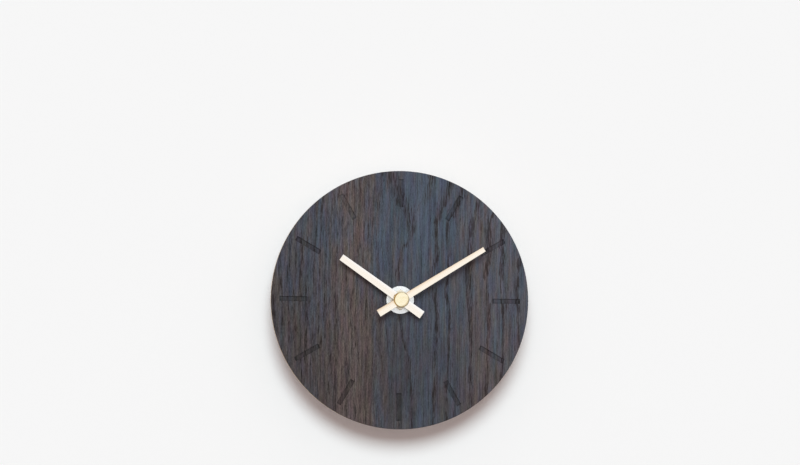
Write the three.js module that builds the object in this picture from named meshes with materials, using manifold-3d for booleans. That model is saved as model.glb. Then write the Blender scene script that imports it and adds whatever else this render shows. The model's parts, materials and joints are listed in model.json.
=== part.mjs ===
// Round wooden wall clock: a veneered board with twelve engraved hour marks, two brass hands and
// a quartz movement behind the board, which also hangs the clock on its nail.
// Millimetres. Pieces are drawn as seen from the front: x to the right, y up, and z from the wall
// towards the viewer. The outermost group turns that upright, so that +Z is up and -Y is the front.

import * as THREE from 'three';
import { mergeVertices } from 'three/addons/utils/BufferGeometryUtils.js';
import Module from 'manifold-3d';

const wasm = await Module();
wasm.setup();

// Board
const BOARD_DIAMETER = 200;
const BOARD_THICKNESS = 6;
const BOARD_CHAMFER = 0.5;
const MARK_COUNT = 12;
const MARK_LENGTH = 21.3;
const MARK_WIDTH = 3.7;
const MARK_DEPTH = 0.8;
const MARK_TO_RIM = 6.1;

// Hands, measured from the arbor, and the time that they show at rest
const MINUTE_REACH = 75.6;
const MINUTE_TAIL = 20.4;
const MINUTE_TIP_WIDTH = 3.8;
const MINUTE_TAIL_WIDTH = 5.8;
const HOUR_REACH = 57.2;
const HOUR_TAIL = 20.2;
const HOUR_TIP_WIDTH = 5.1;
const HOUR_TAIL_WIDTH = 6.4;
const HAND_THICKNESS = 0.6;
const COLLET_WALL = 1.1;
const COLLET_HEIGHT = 1.2;
const REST_HOURS = 10;
const REST_MINUTES = 9.7;

// Centre fixings
const CAP_FACE_DIAMETER = 10.8;
const CAP_BASE_DIAMETER = 12;
const CAP_HEIGHT = 3.6;
const CAP_CROWN = 1.2;
const CAP_EDGE = 0.5;
const WASHER_DIAMETER = 21.4;
const WASHER_THICKNESS = 0.6;
const NUT_ACROSS_FLATS = 14;
const NUT_SIDES = 6;
const NUT_HEIGHT = 2.2;
const GASKET_DIAMETER = 26;
const GASKET_THICKNESS = 1;

// Stem and the arbors inside it
const STEM_DIAMETER = 7.8;
const STEM_PROUD = 1;
const STEM_FLANGE_WIDTH = 1.8;
const STEM_FLANGE_THICKNESS = 0.7;
const STEM_WALL = 1.2;
const HOUR_PIPE_WALL = 0.8;
const HOUR_PIPE_PROUD = 0.3;
const CAP_THREAD_DIAMETER = 2.4;
const CANNON_SPIGOT_DIAMETER = 2.6;
const CANNON_RIM = 0.7;
const CANNON_RIM_THICKNESS = 0.3;
const PIVOT_DIAMETER = 1;
const STUD_DIAMETER = 1.5;

// Cell and moulded case
const CELL_DIAMETER = 14.2;
const CELL_LENGTH = 50.2;
const CELL_NUB_DIAMETER = 5.5;
const CELL_NUB_HEIGHT = 1.3;
const CELL_EDGE = 0.5;
const CELL_RECESS = 0.6;
const CONTACT_THICKNESS = 0.4;
const CONTACT_BOW = 2.1;
const CONTACT_BLADE_WIDTH = 8;
const CONTACT_STRIP_WIDTH = 2.6;
const CONTACT_TAIL_PLACE = 6.6;
const CASE_WALL = 1.2;
const CASE_FRONT_WALL = 1.4;
const CASE_CORNER = 3;
const CASE_EDGE = 0.8;
const COVER_THICKNESS = 1.2;
const FINGER_NOTCH_WIDTH = 16;
const FINGER_NOTCH_DEPTH = 5.5;
const SNAP_WIDTH = 4;
const SNAP_LENGTH = 4.6;
const SNAP_THICKNESS = 1;
const SNAP_BARB = 0.7;
const SNAP_BARB_LENGTH = 1.4;
const SNAP_SETBACK = 5;

// Hanger
const HANGER_WIDTH = 25;
const HANGER_HEIGHT = 12.5;
const HANGER_THICKNESS = 2.6;
const HANGER_SILL = 2.4;
const HANGER_SLOT_WIDTH = 12;
const HANGER_SLOT_HEIGHT = 6.6;
const HANGER_NAIL_DIAMETER = 5;
const HANGER_TONGUE_WIDTH = 13;
const HANGER_FOOT_WIDTH = 18;
const HANGER_FOOT_HEIGHT = 1.3;

// Setting knob
const KNOB_DIAMETER = 8.4;
const KNOB_HEIGHT = 2.4;
const KNOB_RECESS = 0.4;
const KNOB_EDGE = 0.5;
const KNOB_GRIPS = 10;
const KNOB_GRIP_DEPTH = 0.5;
const SET_ARBOR_DIAMETER = 2.4;

// Gear train: axis distances, directions from the front, and tooth counts
const TRAIN_DISTANCE = 10.4;
const MOTION_DISTANCE = 10;
const ROTOR_DISTANCE = 8.4;
const THIRD_DIRECTION = 180;
const INTERMEDIATE_DIRECTION = 35;
const ROTOR_DIRECTION = 60;
const MINUTE_WHEEL_DIRECTION = 105;
const ROTOR_LEAVES = 6;
const INTERMEDIATE_TEETH = 36;
const INTERMEDIATE_LEAVES = 6;
const SECOND_TEETH = 30;
const SECOND_LEAVES = 6;
const THIRD_TEETH = 45;
const THIRD_LEAVES = 6;
const CENTRE_TEETH = 48;
const CANNON_LEAVES = 10;
const MINUTE_WHEEL_TEETH = 30;
const MINUTE_WHEEL_LEAVES = 8;
const HOUR_WHEEL_TEETH = 32;
const SET_LEAVES = 10;
const WHEEL_THICKNESS = 0.7;
const LEVEL_GAP = 0.85;
const PINION_OVERHANG = 0.2;
const ADDENDUM = 0.9;
const DEDENDUM = 1.2;
const TOOTH_SLACK = 0.2;
const FEWEST_WHEEL_TEETH = 20;
const PRESSURE_ANGLE = 20;
const BOSS_WALL = 0.9;
const BEARING_DEPTH = 1.4;
const SPRING_THICKNESS = 0.25;
const SPRING_ARMS = 3;
const SPRING_WIDTH = 1.4;
const SPRING_LOBE = 0.7;
const WEB_HOLES = 4;
const WEB_HOLE_SHARE = 0.7;

// Stepping motor and circuit
const MAGNET_DIAMETER = 5.4;
const MAGNET_THICKNESS = 1.2;
const AIR_GAP = 0.6;
const STATOR_THICKNESS = 0.8;
const STATOR_WIDTH = 7.6;
const STATOR_SPLIT = 0.8;
const CORE_WIDTH = 3;
const CORE_END = 3;
const BOBBIN_LENGTH = 14;
const BOBBIN_WALL = 0.6;
const BOBBIN_FLANGE = 0.8;
const WINDING_WIDTH = 7.6;
const WINDING_THICKNESS = 4.8;
const WINDING_CORNER = 1.6;
const COIL_TO_STATOR = 1.7;
const FIXING_PIN_DIAMETER = 1.5;
const CIRCUIT_WIDTH = 11;
const CIRCUIT_LENGTH = 18;
const CIRCUIT_THICKNESS = 0.8;
const CIRCUIT_PIN_TO_SIDE = 1.8;
const CIRCUIT_PIN_TO_END = 2.5;
const CHIP_DIAMETER = 5;
const CHIP_HEIGHT = 1;
const CHIP_LEAN = 0.5;
const CHIP_CROWN = 0.3;
const CHIP_TO_SIDE = 3.5;
const CHIP_TO_END = 4;
const CRYSTAL_DIAMETER = 2;
const CRYSTAL_LENGTH = 6;
const CRYSTAL_TO_END = 0.8;

// Clearances
const SEAT = 0.1;
const RUN = 0.2;
const SHAKE = 0.3;
const WHEEL_ROOM = 1.4;

// Round shapes: sides of a small pin, of a hidden ring, of a visible disc and of the board, and the
// steps of smaller curves
const PIN_SIDES = 12;
const RING_SIDES = 24;
const DISC_SIDES = 32;
const BOARD_SIDES = 96;
const GRIP_SIDES = 8;
const CORNER_STEPS = 5;
const EDGE_STEPS = 2;
const BOW_STEPS = 8;

// How far a cut runs past the face that it opens
const BEYOND = 2;

const finish = (color, roughness, metalness = 0) =>
  new THREE.MeshStandardMaterial({ color, roughness, metalness });
const STAINED_OAK = finish(0x4c4b4d, 0.6);
const BRASS = finish(0xe9cf9c, 0.25, 1);
const NICKEL = finish(0xdfe3e6, 0.22, 1);
const STEEL = finish(0xa9adb2, 0.35, 1);
const COPPER = finish(0xb5673c, 0.35, 1);
const BLACK_PLASTIC = finish(0x1d1e20, 0.5);
const WHITE_PLASTIC = finish(0xe6e4dc, 0.45);
const RUBBER = finish(0x202020, 0.9);
const GREEN_BOARD = finish(0x2f6b45, 0.5);
const CELL_JACKET = finish(0x3a6ea5, 0.35, 0.4);

// Solids

const degrees = (angle) => THREE.MathUtils.degToRad(angle);

const polar = (radius, angle) =>
  new THREE.Vector2(radius * Math.cos(degrees(angle)), radius * Math.sin(degrees(angle)));

const directionOf = (from, to) => Math.atan2(to.y - from.y, to.x - from.x);

const CENTRE = new THREE.Vector2(0, 0);

// A closed geometry as a solid with its faces pointing out.
function toSolid(geometry) {
  geometry.deleteAttribute('normal');
  geometry.deleteAttribute('uv');
  const merged = mergeVertices(geometry, 1e-4);
  const points = merged.attributes.position.array;
  const corners = merged.index.array;
  const at = (i) => new THREE.Vector3().fromArray(points, 3 * corners[i]);
  let volume = 0;
  for (let i = 0; i < corners.length; i += 3) {
    volume += at(i).dot(at(i + 1).cross(at(i + 2)));
  }
  const triVerts = new Uint32Array(corners);
  if (volume < 0) triVerts.reverse();
  return new wasm.Manifold(new wasm.Mesh({
    numProp: 3, vertProperties: new Float32Array(points), triVerts,
  }));
}

function toMesh(name, solid, material) {
  const { vertProperties, triVerts } = solid.getMesh();
  const geometry = new THREE.BufferGeometry();
  geometry.setAttribute('position', new THREE.BufferAttribute(vertProperties, 3));
  geometry.setIndex(new THREE.BufferAttribute(triVerts, 1));
  geometry.computeVertexNormals();
  const mesh = new THREE.Mesh(geometry, material);
  mesh.name = name;
  return mesh;
}

// A flat outline given thickness from the height low to the height high.
function plate(shape, low, high, sides = PIN_SIDES) {
  const options = { depth: high - low, bevelEnabled: false, curveSegments: sides / 2 };
  return toSolid(new THREE.ExtrudeGeometry(shape, options).translate(0, 0, low));
}

// A profile of [radius, height] points turned about the axis at a place.
function turned(profile, sides = PIN_SIDES, place = CENTRE) {
  const points = profile.map(([radius, height]) => new THREE.Vector2(radius, height));
  const geometry = new THREE.LatheGeometry(points, sides).rotateX(Math.PI / 2);
  return toSolid(geometry.translate(place.x, place.y, 0));
}

const pin = (place, radius, low, high, sides = PIN_SIDES) =>
  turned([[0, low], [radius, low], [radius, high], [0, high]], sides, place);

const ring = (outer, inner, low, high, sides = PIN_SIDES, place = CENTRE) =>
  turned([[inner, low], [outer, low], [outer, high], [inner, high], [inner, low]], sides, place);

// The radius of a many-sided bore whose flats clear a round pin.
const boreRadius = (pinDiameter, clearance, sides = PIN_SIDES) =>
  (pinDiameter / 2 + clearance) / Math.cos(Math.PI / sides);

function outline(points) {
  return new THREE.Shape(points.map(([x, y]) => new THREE.Vector2(x, y)));
}

const rectangle = (left, bottom, right, top) =>
  outline([[left, bottom], [right, bottom], [right, top], [left, top]]);

function roundedRectangle(left, bottom, right, top, radius) {
  const shape = new THREE.Shape();
  shape.absarc(right - radius, top - radius, radius, 0, degrees(90));
  shape.absarc(left + radius, top - radius, radius, degrees(90), degrees(180));
  shape.absarc(left + radius, bottom + radius, radius, degrees(180), degrees(270));
  shape.absarc(right - radius, bottom + radius, radius, degrees(270), degrees(360));
  return shape;
}

const box = (left, bottom, low, right, top, high) =>
  plate(rectangle(left, bottom, right, top), low, high);

// A strip of sheet metal standing on edge along a path drawn in the plane of the board.
function strip(path, thickness, low, high) {
  const runs = path.slice(1).map((point, i) => new THREE.Vector2().subVectors(point, path[i]).normalize());
  const side = (sign) => path.map((point, i) => {
    const into = runs[Math.max(i - 1, 0)];
    const onward = runs[Math.min(i, runs.length - 1)];
    const along = new THREE.Vector2().addVectors(into, onward).normalize();
    const mitre = sign * thickness / 2 / along.dot(into);
    return new THREE.Vector2(point.x - along.y * mitre, point.y + along.x * mitre);
  });
  return plate(new THREE.Shape([...side(1), ...side(-1).reverse()]), low, high);
}

// Gears: flanks are radial below the pitch circle and lean in above it, as in clockwork.

const moduleOf = (distance, teeth, otherTeeth) => 2 * distance / (teeth + otherTeeth);

const tipRadius = (teeth, module) => module * (teeth / 2 + ADDENDUM);

function gear(teeth, module, toothDirection, low, high, place = CENTRE) {
  const pitch = teeth * module / 2;
  const tip = tipRadius(teeth, module);
  const root = pitch - DEDENDUM * module;
  const halfThickness = Math.PI / 4 * module * (1 - TOOTH_SLACK);
  const halfTip = halfThickness - ADDENDUM * module * Math.tan(degrees(PRESSURE_ANGLE));
  const flank = [[root, halfThickness / pitch], [tip, halfTip / tip]];
  if (teeth < FEWEST_WHEEL_TEETH) flank.splice(1, 0, [pitch, halfThickness / pitch]);
  const points = [];
  for (let tooth = 0; tooth < teeth; tooth++) {
    const middle = toothDirection + 2 * Math.PI * tooth / teeth;
    const rising = flank.map(([radius, half]) => [radius, middle - half]);
    const falling = flank.map(([radius, half]) => [radius, middle + half]).reverse();
    points.push(...rising, ...falling);
  }
  return plate(outline(points.map(([radius, angle]) =>
    [place.x + radius * Math.cos(angle), place.y + radius * Math.sin(angle)])), low, high);
}

// The direction of a tooth on a gear at `to` that leaves a gap for a tooth of the gear at `from`.
const gapDirection = (from, to, teeth) => directionOf(to, from) + Math.PI / teeth;

// Round holes in a wheel's web, between its hub and the roots of its teeth.
function lightened(wheel, place, teeth, module, hub, low, high) {
  const root = module * (teeth / 2 - DEDENDUM);
  const holeRadius = (root - hub) / 2 * WEB_HOLE_SHARE;
  let web = wheel;
  for (let hole = 0; hole < WEB_HOLES; hole++) {
    const at = polar((root + hub) / 2, 360 * (hole + 0.5) / WEB_HOLES).add(place);
    web = web.subtract(pin(at, holeRadius, low - BEYOND, high + BEYOND));
  }
  return web;
}

// Worked-out places

const secondModule = moduleOf(TRAIN_DISTANCE, INTERMEDIATE_LEAVES, SECOND_TEETH);
const thirdModule = moduleOf(TRAIN_DISTANCE, SECOND_LEAVES, THIRD_TEETH);
const centreModule = moduleOf(TRAIN_DISTANCE, THIRD_LEAVES, CENTRE_TEETH);
const rotorModule = moduleOf(ROTOR_DISTANCE, ROTOR_LEAVES, INTERMEDIATE_TEETH);
const minuteModule = moduleOf(MOTION_DISTANCE, CANNON_LEAVES, MINUTE_WHEEL_TEETH);
const hourModule = moduleOf(MOTION_DISTANCE, MINUTE_WHEEL_LEAVES, HOUR_WHEEL_TEETH);

const thirdAxis = polar(TRAIN_DISTANCE, THIRD_DIRECTION);
const intermediateAxis = polar(TRAIN_DISTANCE, INTERMEDIATE_DIRECTION);
const rotorAxis = polar(ROTOR_DISTANCE, ROTOR_DIRECTION).add(intermediateAxis);
const minuteWheelAxis = polar(MOTION_DISTANCE, MINUTE_WHEEL_DIRECTION);
const setDistance = minuteModule * (MINUTE_WHEEL_TEETH + SET_LEAVES) / 2;
const setAxis = polar(setDistance, MINUTE_WHEEL_DIRECTION).add(minuteWheelAxis);

const coilX = rotorAxis.x + STATOR_WIDTH / 2 + COIL_TO_STATOR + WINDING_WIDTH / 2;
const coreHalfLength = BOBBIN_LENGTH / 2 + SEAT + CORE_END;
const corePins = [-1, 1].map((sign) =>
  new THREE.Vector2(coilX, rotorAxis.y + sign * (coreHalfLength - CORE_END / 2)));

// the cell lies between a flat contact and a bowed one, each clear of the wall and of the cell
const contactsLength = CONTACT_BOW + 2 * CONTACT_THICKNESS + 5 * SEAT;
const cellWidthNeeded = (CELL_LENGTH + contactsLength) / 2;
const coilWidthNeeded = coilX + WINDING_WIDTH / 2 + SEAT + SHAKE;
const coilHeightNeeded = rotorAxis.y + coreHalfLength + SNAP_THICKNESS + 2 * RUN;
const caseInner = Math.max(cellWidthNeeded, coilWidthNeeded, coilHeightNeeded);
const caseHalf = caseInner + CASE_WALL;

const trainReach = Math.max(
  tipRadius(CENTRE_TEETH, centreModule), tipRadius(SECOND_TEETH, secondModule),
  tipRadius(THIRD_TEETH, thirdModule) - thirdAxis.y, tipRadius(HOUR_WHEEL_TEETH, hourModule));
const partitionTop = -trainReach - WHEEL_ROOM;
const bayTop = partitionTop - CASE_WALL;
const bayBottom = bayTop - CELL_DIAMETER - 2 * RUN;
const caseBottom = bayBottom - CASE_WALL;
const cellAxisHeight = (bayTop + bayBottom) / 2;

const windingRear = COVER_THICKNESS + SEAT + SHAKE;
const coreMiddle = windingRear + BOBBIN_WALL + WINDING_THICKNESS / 2;
const coreRear = coreMiddle - STATOR_THICKNESS / 2;
const coreFront = coreRear + STATOR_THICKNESS;
const statorRear = coreRear - SEAT - STATOR_THICKNESS;
const magnetRear = statorRear + STATOR_THICKNESS / 2 - MAGNET_THICKNESS / 2;
const firstLevel = magnetRear + MAGNET_THICKNESS + LEVEL_GAP;
const level = (number) => firstLevel + (number - 1) * (WHEEL_THICKNESS + LEVEL_GAP);
const levelFront = (number) => level(number) + WHEEL_THICKNESS;
const INTERMEDIATE_LEVEL = 1;
const SECOND_LEVEL = 2;
const THIRD_LEVEL = 3;
const CENTRE_LEVEL = 4;
const MINUTE_LEVEL = 5;
const HOUR_LEVEL = 6;

const cellDepthNeeded = CELL_RECESS + CELL_DIAMETER + RUN;
const trainDepthNeeded = levelFront(HOUR_LEVEL) + SHAKE + STEM_FLANGE_THICKNESS + SEAT;
const innerFront = Math.max(cellDepthNeeded, trainDepthNeeded);
const caseFront = innerFront + CASE_FRONT_WALL;
const cellAxisDepth = CELL_RECESS + CELL_DIAMETER / 2;
const wallRear = COVER_THICKNESS + SEAT;

const gasketRear = caseFront + SEAT;
const boardRear = gasketRear + GASKET_THICKNESS + SEAT;
const boardFront = boardRear + BOARD_THICKNESS;
const washerRear = boardFront + SEAT;
const nutRear = washerRear + WASHER_THICKNESS + SEAT;
const stemEnd = nutRear + NUT_HEIGHT + STEM_PROUD;
const hourColletRear = stemEnd + SHAKE;
const hourHandRear = hourColletRear + COLLET_HEIGHT + SEAT;
const hourPipeEnd = hourHandRear + HAND_THICKNESS + HOUR_PIPE_PROUD;
const minuteColletRear = hourPipeEnd + SHAKE;
const minuteHandRear = minuteColletRear + COLLET_HEIGHT + SEAT;
const capRear = minuteHandRear + HAND_THICKNESS + SEAT;
const threadEnd = capRear + CAP_HEIGHT - CAP_CROWN - SEAT;

const stemHole = boreRadius(STEM_DIAMETER, RUN);
const stemBoreDiameter = STEM_DIAMETER - 2 * STEM_WALL;
const hourPipeDiameter = stemBoreDiameter - 2 * RUN;
const hourPipeBoreDiameter = hourPipeDiameter - 2 * HOUR_PIPE_WALL;
const minuteArborDiameter = hourPipeBoreDiameter - 2 * RUN;

const minuteTurn = -360 * REST_MINUTES / 60;
const hourTurn = -360 * (REST_HOURS + REST_MINUTES / 60) / 12;

const circuitLeft = -caseInner + SNAP_THICKNESS + 2 * RUN + WHEEL_ROOM;
const circuitRight = circuitLeft + CIRCUIT_WIDTH;
const circuitTop = caseInner - SNAP_THICKNESS - 2 * RUN - SEAT;
const circuitBottom = circuitTop - CIRCUIT_LENGTH;
const circuitRear = COVER_THICKNESS + WHEEL_ROOM;
const circuitFront = circuitRear + CIRCUIT_THICKNESS;
const circuitPins = [circuitBottom + CIRCUIT_PIN_TO_END, circuitTop - CIRCUIT_PIN_TO_END].map(
  (y) => new THREE.Vector2(circuitRight - CIRCUIT_PIN_TO_SIDE, y));

// the tail of the negative contact meets the circuit here
const tailHeight = circuitBottom + CONTACT_BLADE_WIDTH / 2;

// the direction of each snap tab's wall, and its place along that wall
const topSnap = HANGER_FOOT_WIDTH / 2 + SNAP_SETBACK;
const snapPlaces = [
  [0, rotorAxis.y - coreHalfLength - SNAP_SETBACK],
  [90, -topSnap],
  [90, topSnap],
  [180, -tailHeight - CONTACT_THICKNESS - SNAP_WIDTH / 2 - 2 * RUN],
];

// Pieces on the face

function dialBoard() {
  const radius = BOARD_DIAMETER / 2;
  const inset = radius - BOARD_CHAMFER;
  let board = turned([
    [0, boardRear], [inset, boardRear], [radius, boardRear + BOARD_CHAMFER],
    [radius, boardFront - BOARD_CHAMFER], [inset, boardFront], [0, boardFront],
  ], BOARD_SIDES);
  const outer = radius - MARK_TO_RIM;
  for (let hour = 0; hour < MARK_COUNT; hour++) {
    const mark = box(outer - MARK_LENGTH, -MARK_WIDTH / 2, boardFront - MARK_DEPTH,
      outer, MARK_WIDTH / 2, boardFront + BEYOND);
    board = board.subtract(mark.rotate([0, 0, 360 * hour / MARK_COUNT]));
  }
  return board.subtract(pin(CENTRE, stemHole, boardRear - BEYOND, boardFront + BEYOND));
}

function capNut() {
  const face = capRear + CAP_HEIGHT;
  const base = CAP_BASE_DIAMETER / 2;
  const top = CAP_FACE_DIAMETER / 2;
  const bore = boreRadius(CAP_THREAD_DIAMETER, SEAT, DISC_SIDES);
  return turned([
    [0, face - CAP_CROWN], [bore, face - CAP_CROWN], [bore, capRear], [base, capRear],
    [base, capRear + CAP_EDGE], [top, face - CAP_EDGE / 2], [top - CAP_EDGE, face], [0, face],
  ], DISC_SIDES);
}

// A straight hand that narrows from its tail to its tip, pierced for its arbor.
function hand(reach, tail, tipWidth, tailWidth, boreDiameter, rear) {
  const bar = plate(outline([
    [-tailWidth / 2, -tail], [tailWidth / 2, -tail], [tipWidth / 2, reach], [-tipWidth / 2, reach],
  ]), rear, rear + HAND_THICKNESS);
  // the eye round the arbor keeps the collet's wall beside the bore
  const eye = pin(CENTRE, boreDiameter / 2 + COLLET_WALL, rear, rear + HAND_THICKNESS, DISC_SIDES);
  const bore = boreRadius(boreDiameter, SEAT);
  return bar.add(eye).subtract(pin(CENTRE, bore, rear - BEYOND, rear + BEYOND));
}

const collet = (boreDiameter, rear) => ring(boreDiameter / 2 + COLLET_WALL,
  boreRadius(boreDiameter, SEAT, RING_SIDES), rear, rear + COLLET_HEIGHT, RING_SIDES);

function hexNut() {
  const corner = NUT_ACROSS_FLATS / 2 / Math.cos(Math.PI / NUT_SIDES);
  const front = nutRear + NUT_HEIGHT;
  const bevel = corner - NUT_ACROSS_FLATS / 2;
  const hexagon = pin(CENTRE, corner, nutRear, front, NUT_SIDES);
  const rounding = turned([
    [0, nutRear], [corner, nutRear], [corner, front - bevel], [corner - bevel, front], [0, front],
  ], DISC_SIDES);
  return hexagon.intersect(rounding)
    .subtract(pin(CENTRE, stemHole, nutRear - BEYOND, front + BEYOND));
}

// Case of the movement

const bossRadius = PIVOT_DIAMETER / 2 + RUN + BOSS_WALL;

// A post that carries a pivot in a blind bearing at its tip.
function addBearing(solid, place, root, tip) {
  const way = Math.sign(tip - root);
  const bearing = tip - way * Math.min(BEARING_DEPTH, Math.abs(tip - root));
  const bore = boreRadius(PIVOT_DIAMETER, RUN);
  const ends = (a, b) => [Math.min(a, b), Math.max(a, b)];
  return solid.add(pin(place, bossRadius, ...ends(root - way * SEAT, tip)))
    .subtract(pin(place, bore, ...ends(bearing, tip + way * SEAT)));
}

// A post that a sheet lies on, with a pin through the sheet.
const addPinnedPost = (solid, place, sheetFront, pinEnd) => solid
  .add(pin(place, FIXING_PIN_DIAMETER / 2 + BOSS_WALL / 2, sheetFront + SEAT, innerFront + SEAT))
  .add(pin(place, FIXING_PIN_DIAMETER / 2, pinEnd, innerFront));

// A shape drawn against the right-hand wall, moved along it and turned to another wall.
const onWall = (solid, [wallDirection, along]) =>
  solid.translate([0, along, 0]).rotate([0, 0, wallDirection]);

const snapTip = COVER_THICKNESS + SNAP_LENGTH;
const barbRear = snapTip - SNAP_BARB_LENGTH;

function snapTab(place) {
  const outer = caseInner - RUN;
  const leg = box(outer - SNAP_THICKNESS, -SNAP_WIDTH / 2, COVER_THICKNESS - SEAT,
    outer, SNAP_WIDTH / 2, snapTip);
  const slope = plate(outline([
    [outer - SEAT, barbRear], [outer + SNAP_BARB, barbRear], [outer - SEAT, snapTip],
  ]), -SNAP_WIDTH / 2, SNAP_WIDTH / 2);
  return onWall(leg.add(slope.rotate([90, 0, 0])), place);
}

const snapWindow = (place) => onWall(box(caseInner - BEYOND, -SNAP_WIDTH / 2 - RUN, barbRear - RUN,
  caseHalf + BEYOND, SNAP_WIDTH / 2 + RUN, snapTip + RUN), place);

const notchWidth = CONTACT_THICKNESS + 4 * SEAT;
const stripRear = wallRear + SHAKE;
const stripFront = stripRear + CONTACT_STRIP_WIDTH;

function hollowCase() {
  const shape = roundedRectangle(-caseHalf, caseBottom, caseHalf, caseHalf, CASE_CORNER);
  const block = new THREE.ExtrudeGeometry(shape, {
    depth: caseFront - CASE_EDGE + BEYOND, curveSegments: CORNER_STEPS, bevelSegments: EDGE_STEPS,
    bevelThickness: CASE_EDGE, bevelSize: CASE_EDGE, bevelOffset: -CASE_EDGE,
  }).translate(0, 0, -BEYOND);
  const far = caseHalf + BEYOND;
  const chamber = roundedRectangle(
    -caseInner, partitionTop, caseInner, caseInner, CASE_CORNER - CASE_WALL);
  return toSolid(block)
    .subtract(box(-far, caseBottom - BEYOND, -2 * BEYOND, far, far, 0))
    .subtract(box(-far, bayTop, -BEYOND, far, far, wallRear))
    .subtract(plate(chamber, -BEYOND, innerFront))
    .subtract(box(-caseInner, partitionTop, -BEYOND, caseInner, 0, innerFront))
    .subtract(box(-caseInner, bayBottom, -BEYOND, caseInner, bayTop, innerFront))
    .subtract(pin(CENTRE, stemHole, innerFront - BEYOND, caseFront + BEYOND));
}

function frontCase() {
  let body = hollowCase();
  for (const side of [-1, 1]) {
    const wallSide = side * caseInner;
    const inward = side * (caseInner - notchWidth);
    body = body.subtract(box(Math.min(wallSide, inward), bayTop - SEAT, wallRear - BEYOND,
      Math.max(wallSide, inward), partitionTop + SEAT, stripFront + RUN));
  }
  body = body
    .subtract(box(-FINGER_NOTCH_WIDTH / 2, caseBottom - BEYOND, -BEYOND,
      FINGER_NOTCH_WIDTH / 2, bayBottom + SEAT, FINGER_NOTCH_DEPTH))
    .subtract(box(-HANGER_TONGUE_WIDTH / 2 - RUN, caseInner - SEAT, wallRear - BEYOND,
      HANGER_TONGUE_WIDTH / 2 + RUN, caseHalf + BEYOND, HANGER_THICKNESS + RUN));
  for (const place of snapPlaces) body = body.subtract(snapWindow(place));
  body = addBearing(body, thirdAxis, innerFront, levelFront(CENTRE_LEVEL) + LEVEL_GAP);
  body = addBearing(body, intermediateAxis, innerFront, levelFront(CENTRE_LEVEL) + LEVEL_GAP);
  body = addBearing(body, rotorAxis, innerFront, levelFront(INTERMEDIATE_LEVEL) + LEVEL_GAP);
  body = addBearing(body, setAxis, innerFront, levelFront(MINUTE_LEVEL) + LEVEL_GAP);
  for (const place of corePins) body = addPinnedPost(body, place, coreFront, statorRear - SHAKE);
  for (const place of circuitPins) body = addPinnedPost(body, place, circuitFront, circuitRear - SHAKE);
  return body.add(pin(minuteWheelAxis, STUD_DIAMETER / 2, level(MINUTE_LEVEL), innerFront + SEAT));
}

const wellRadius = KNOB_DIAMETER / 2 + SHAKE;
const wellFloor = KNOB_RECESS + KNOB_HEIGHT + SHAKE;

function rearCover() {
  const shape = roundedRectangle(-caseHalf, bayTop - CASE_CORNER, caseHalf, caseHalf, CASE_CORNER);
  let cover = plate(shape, 0, COVER_THICKNESS)
    .subtract(box(-caseHalf - BEYOND, bayTop - 2 * CASE_CORNER, -BEYOND,
      caseHalf + BEYOND, bayTop + SEAT, COVER_THICKNESS + BEYOND))
    .add(pin(setAxis, wellRadius + CASE_WALL, SEAT, wellFloor + CASE_WALL, DISC_SIDES))
    .subtract(pin(setAxis, wellRadius, -BEYOND, wellFloor, DISC_SIDES))
    .subtract(pin(setAxis, boreRadius(SET_ARBOR_DIAMETER, RUN), 0, wellFloor + 2 * CASE_WALL));
  for (const place of snapPlaces) cover = cover.add(snapTab(place));
  cover = addBearing(cover, CENTRE, COVER_THICKNESS, level(SECOND_LEVEL) - SHAKE);
  cover = addBearing(cover, thirdAxis, COVER_THICKNESS, level(SECOND_LEVEL) - SHAKE);
  cover = addBearing(cover, intermediateAxis, COVER_THICKNESS, level(INTERMEDIATE_LEVEL) - SHAKE);
  return addBearing(cover, rotorAxis, COVER_THICKNESS, magnetRear - SHAKE);
}

function hanger() {
  const foot = caseInner - SEAT;
  const base = caseHalf + SEAT;
  const half = HANGER_WIDTH / 2;
  const slotBottom = base + HANGER_SILL;
  const slotTop = slotBottom + HANGER_SLOT_HEIGHT;
  const shape = new THREE.Shape();
  shape.moveTo(-half, base);
  shape.lineTo(half, base);
  shape.absarc(half - HANGER_HEIGHT, base, HANGER_HEIGHT, 0, degrees(90));
  shape.absarc(HANGER_HEIGHT - half, base, HANGER_HEIGHT, degrees(90), degrees(180));
  const slot = new THREE.Path();
  const slotHalf = HANGER_SLOT_WIDTH / 2;
  const nail = HANGER_NAIL_DIAMETER / 2;
  slot.moveTo(-slotHalf, slotBottom);
  slot.lineTo(slotHalf, slotBottom);
  slot.lineTo(nail, slotTop - nail);
  slot.absarc(0, slotTop - nail, nail, 0, Math.PI);
  slot.closePath();
  shape.holes.push(slot);
  return plate(shape, 0, HANGER_THICKNESS)
    .add(box(-HANGER_TONGUE_WIDTH / 2, foot - SEAT, wallRear + SEAT,
      HANGER_TONGUE_WIDTH / 2, base + SEAT, HANGER_THICKNESS))
    .add(box(-HANGER_FOOT_WIDTH / 2, foot - HANGER_FOOT_HEIGHT, wallRear + SEAT,
      HANGER_FOOT_WIDTH / 2, foot, HANGER_THICKNESS));
}

function stemBush() {
  const flange = innerFront - SEAT - STEM_FLANGE_THICKNESS;
  const radius = STEM_DIAMETER / 2;
  const bore = boreRadius(stemBoreDiameter, 0, RING_SIDES);
  return turned([
    [bore, flange], [radius + STEM_FLANGE_WIDTH, flange], [radius + STEM_FLANGE_WIDTH, innerFront - SEAT],
    [radius, innerFront - SEAT], [radius, stemEnd], [bore, stemEnd], [bore, flange],
  ], RING_SIDES);
}

// Gear train

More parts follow.
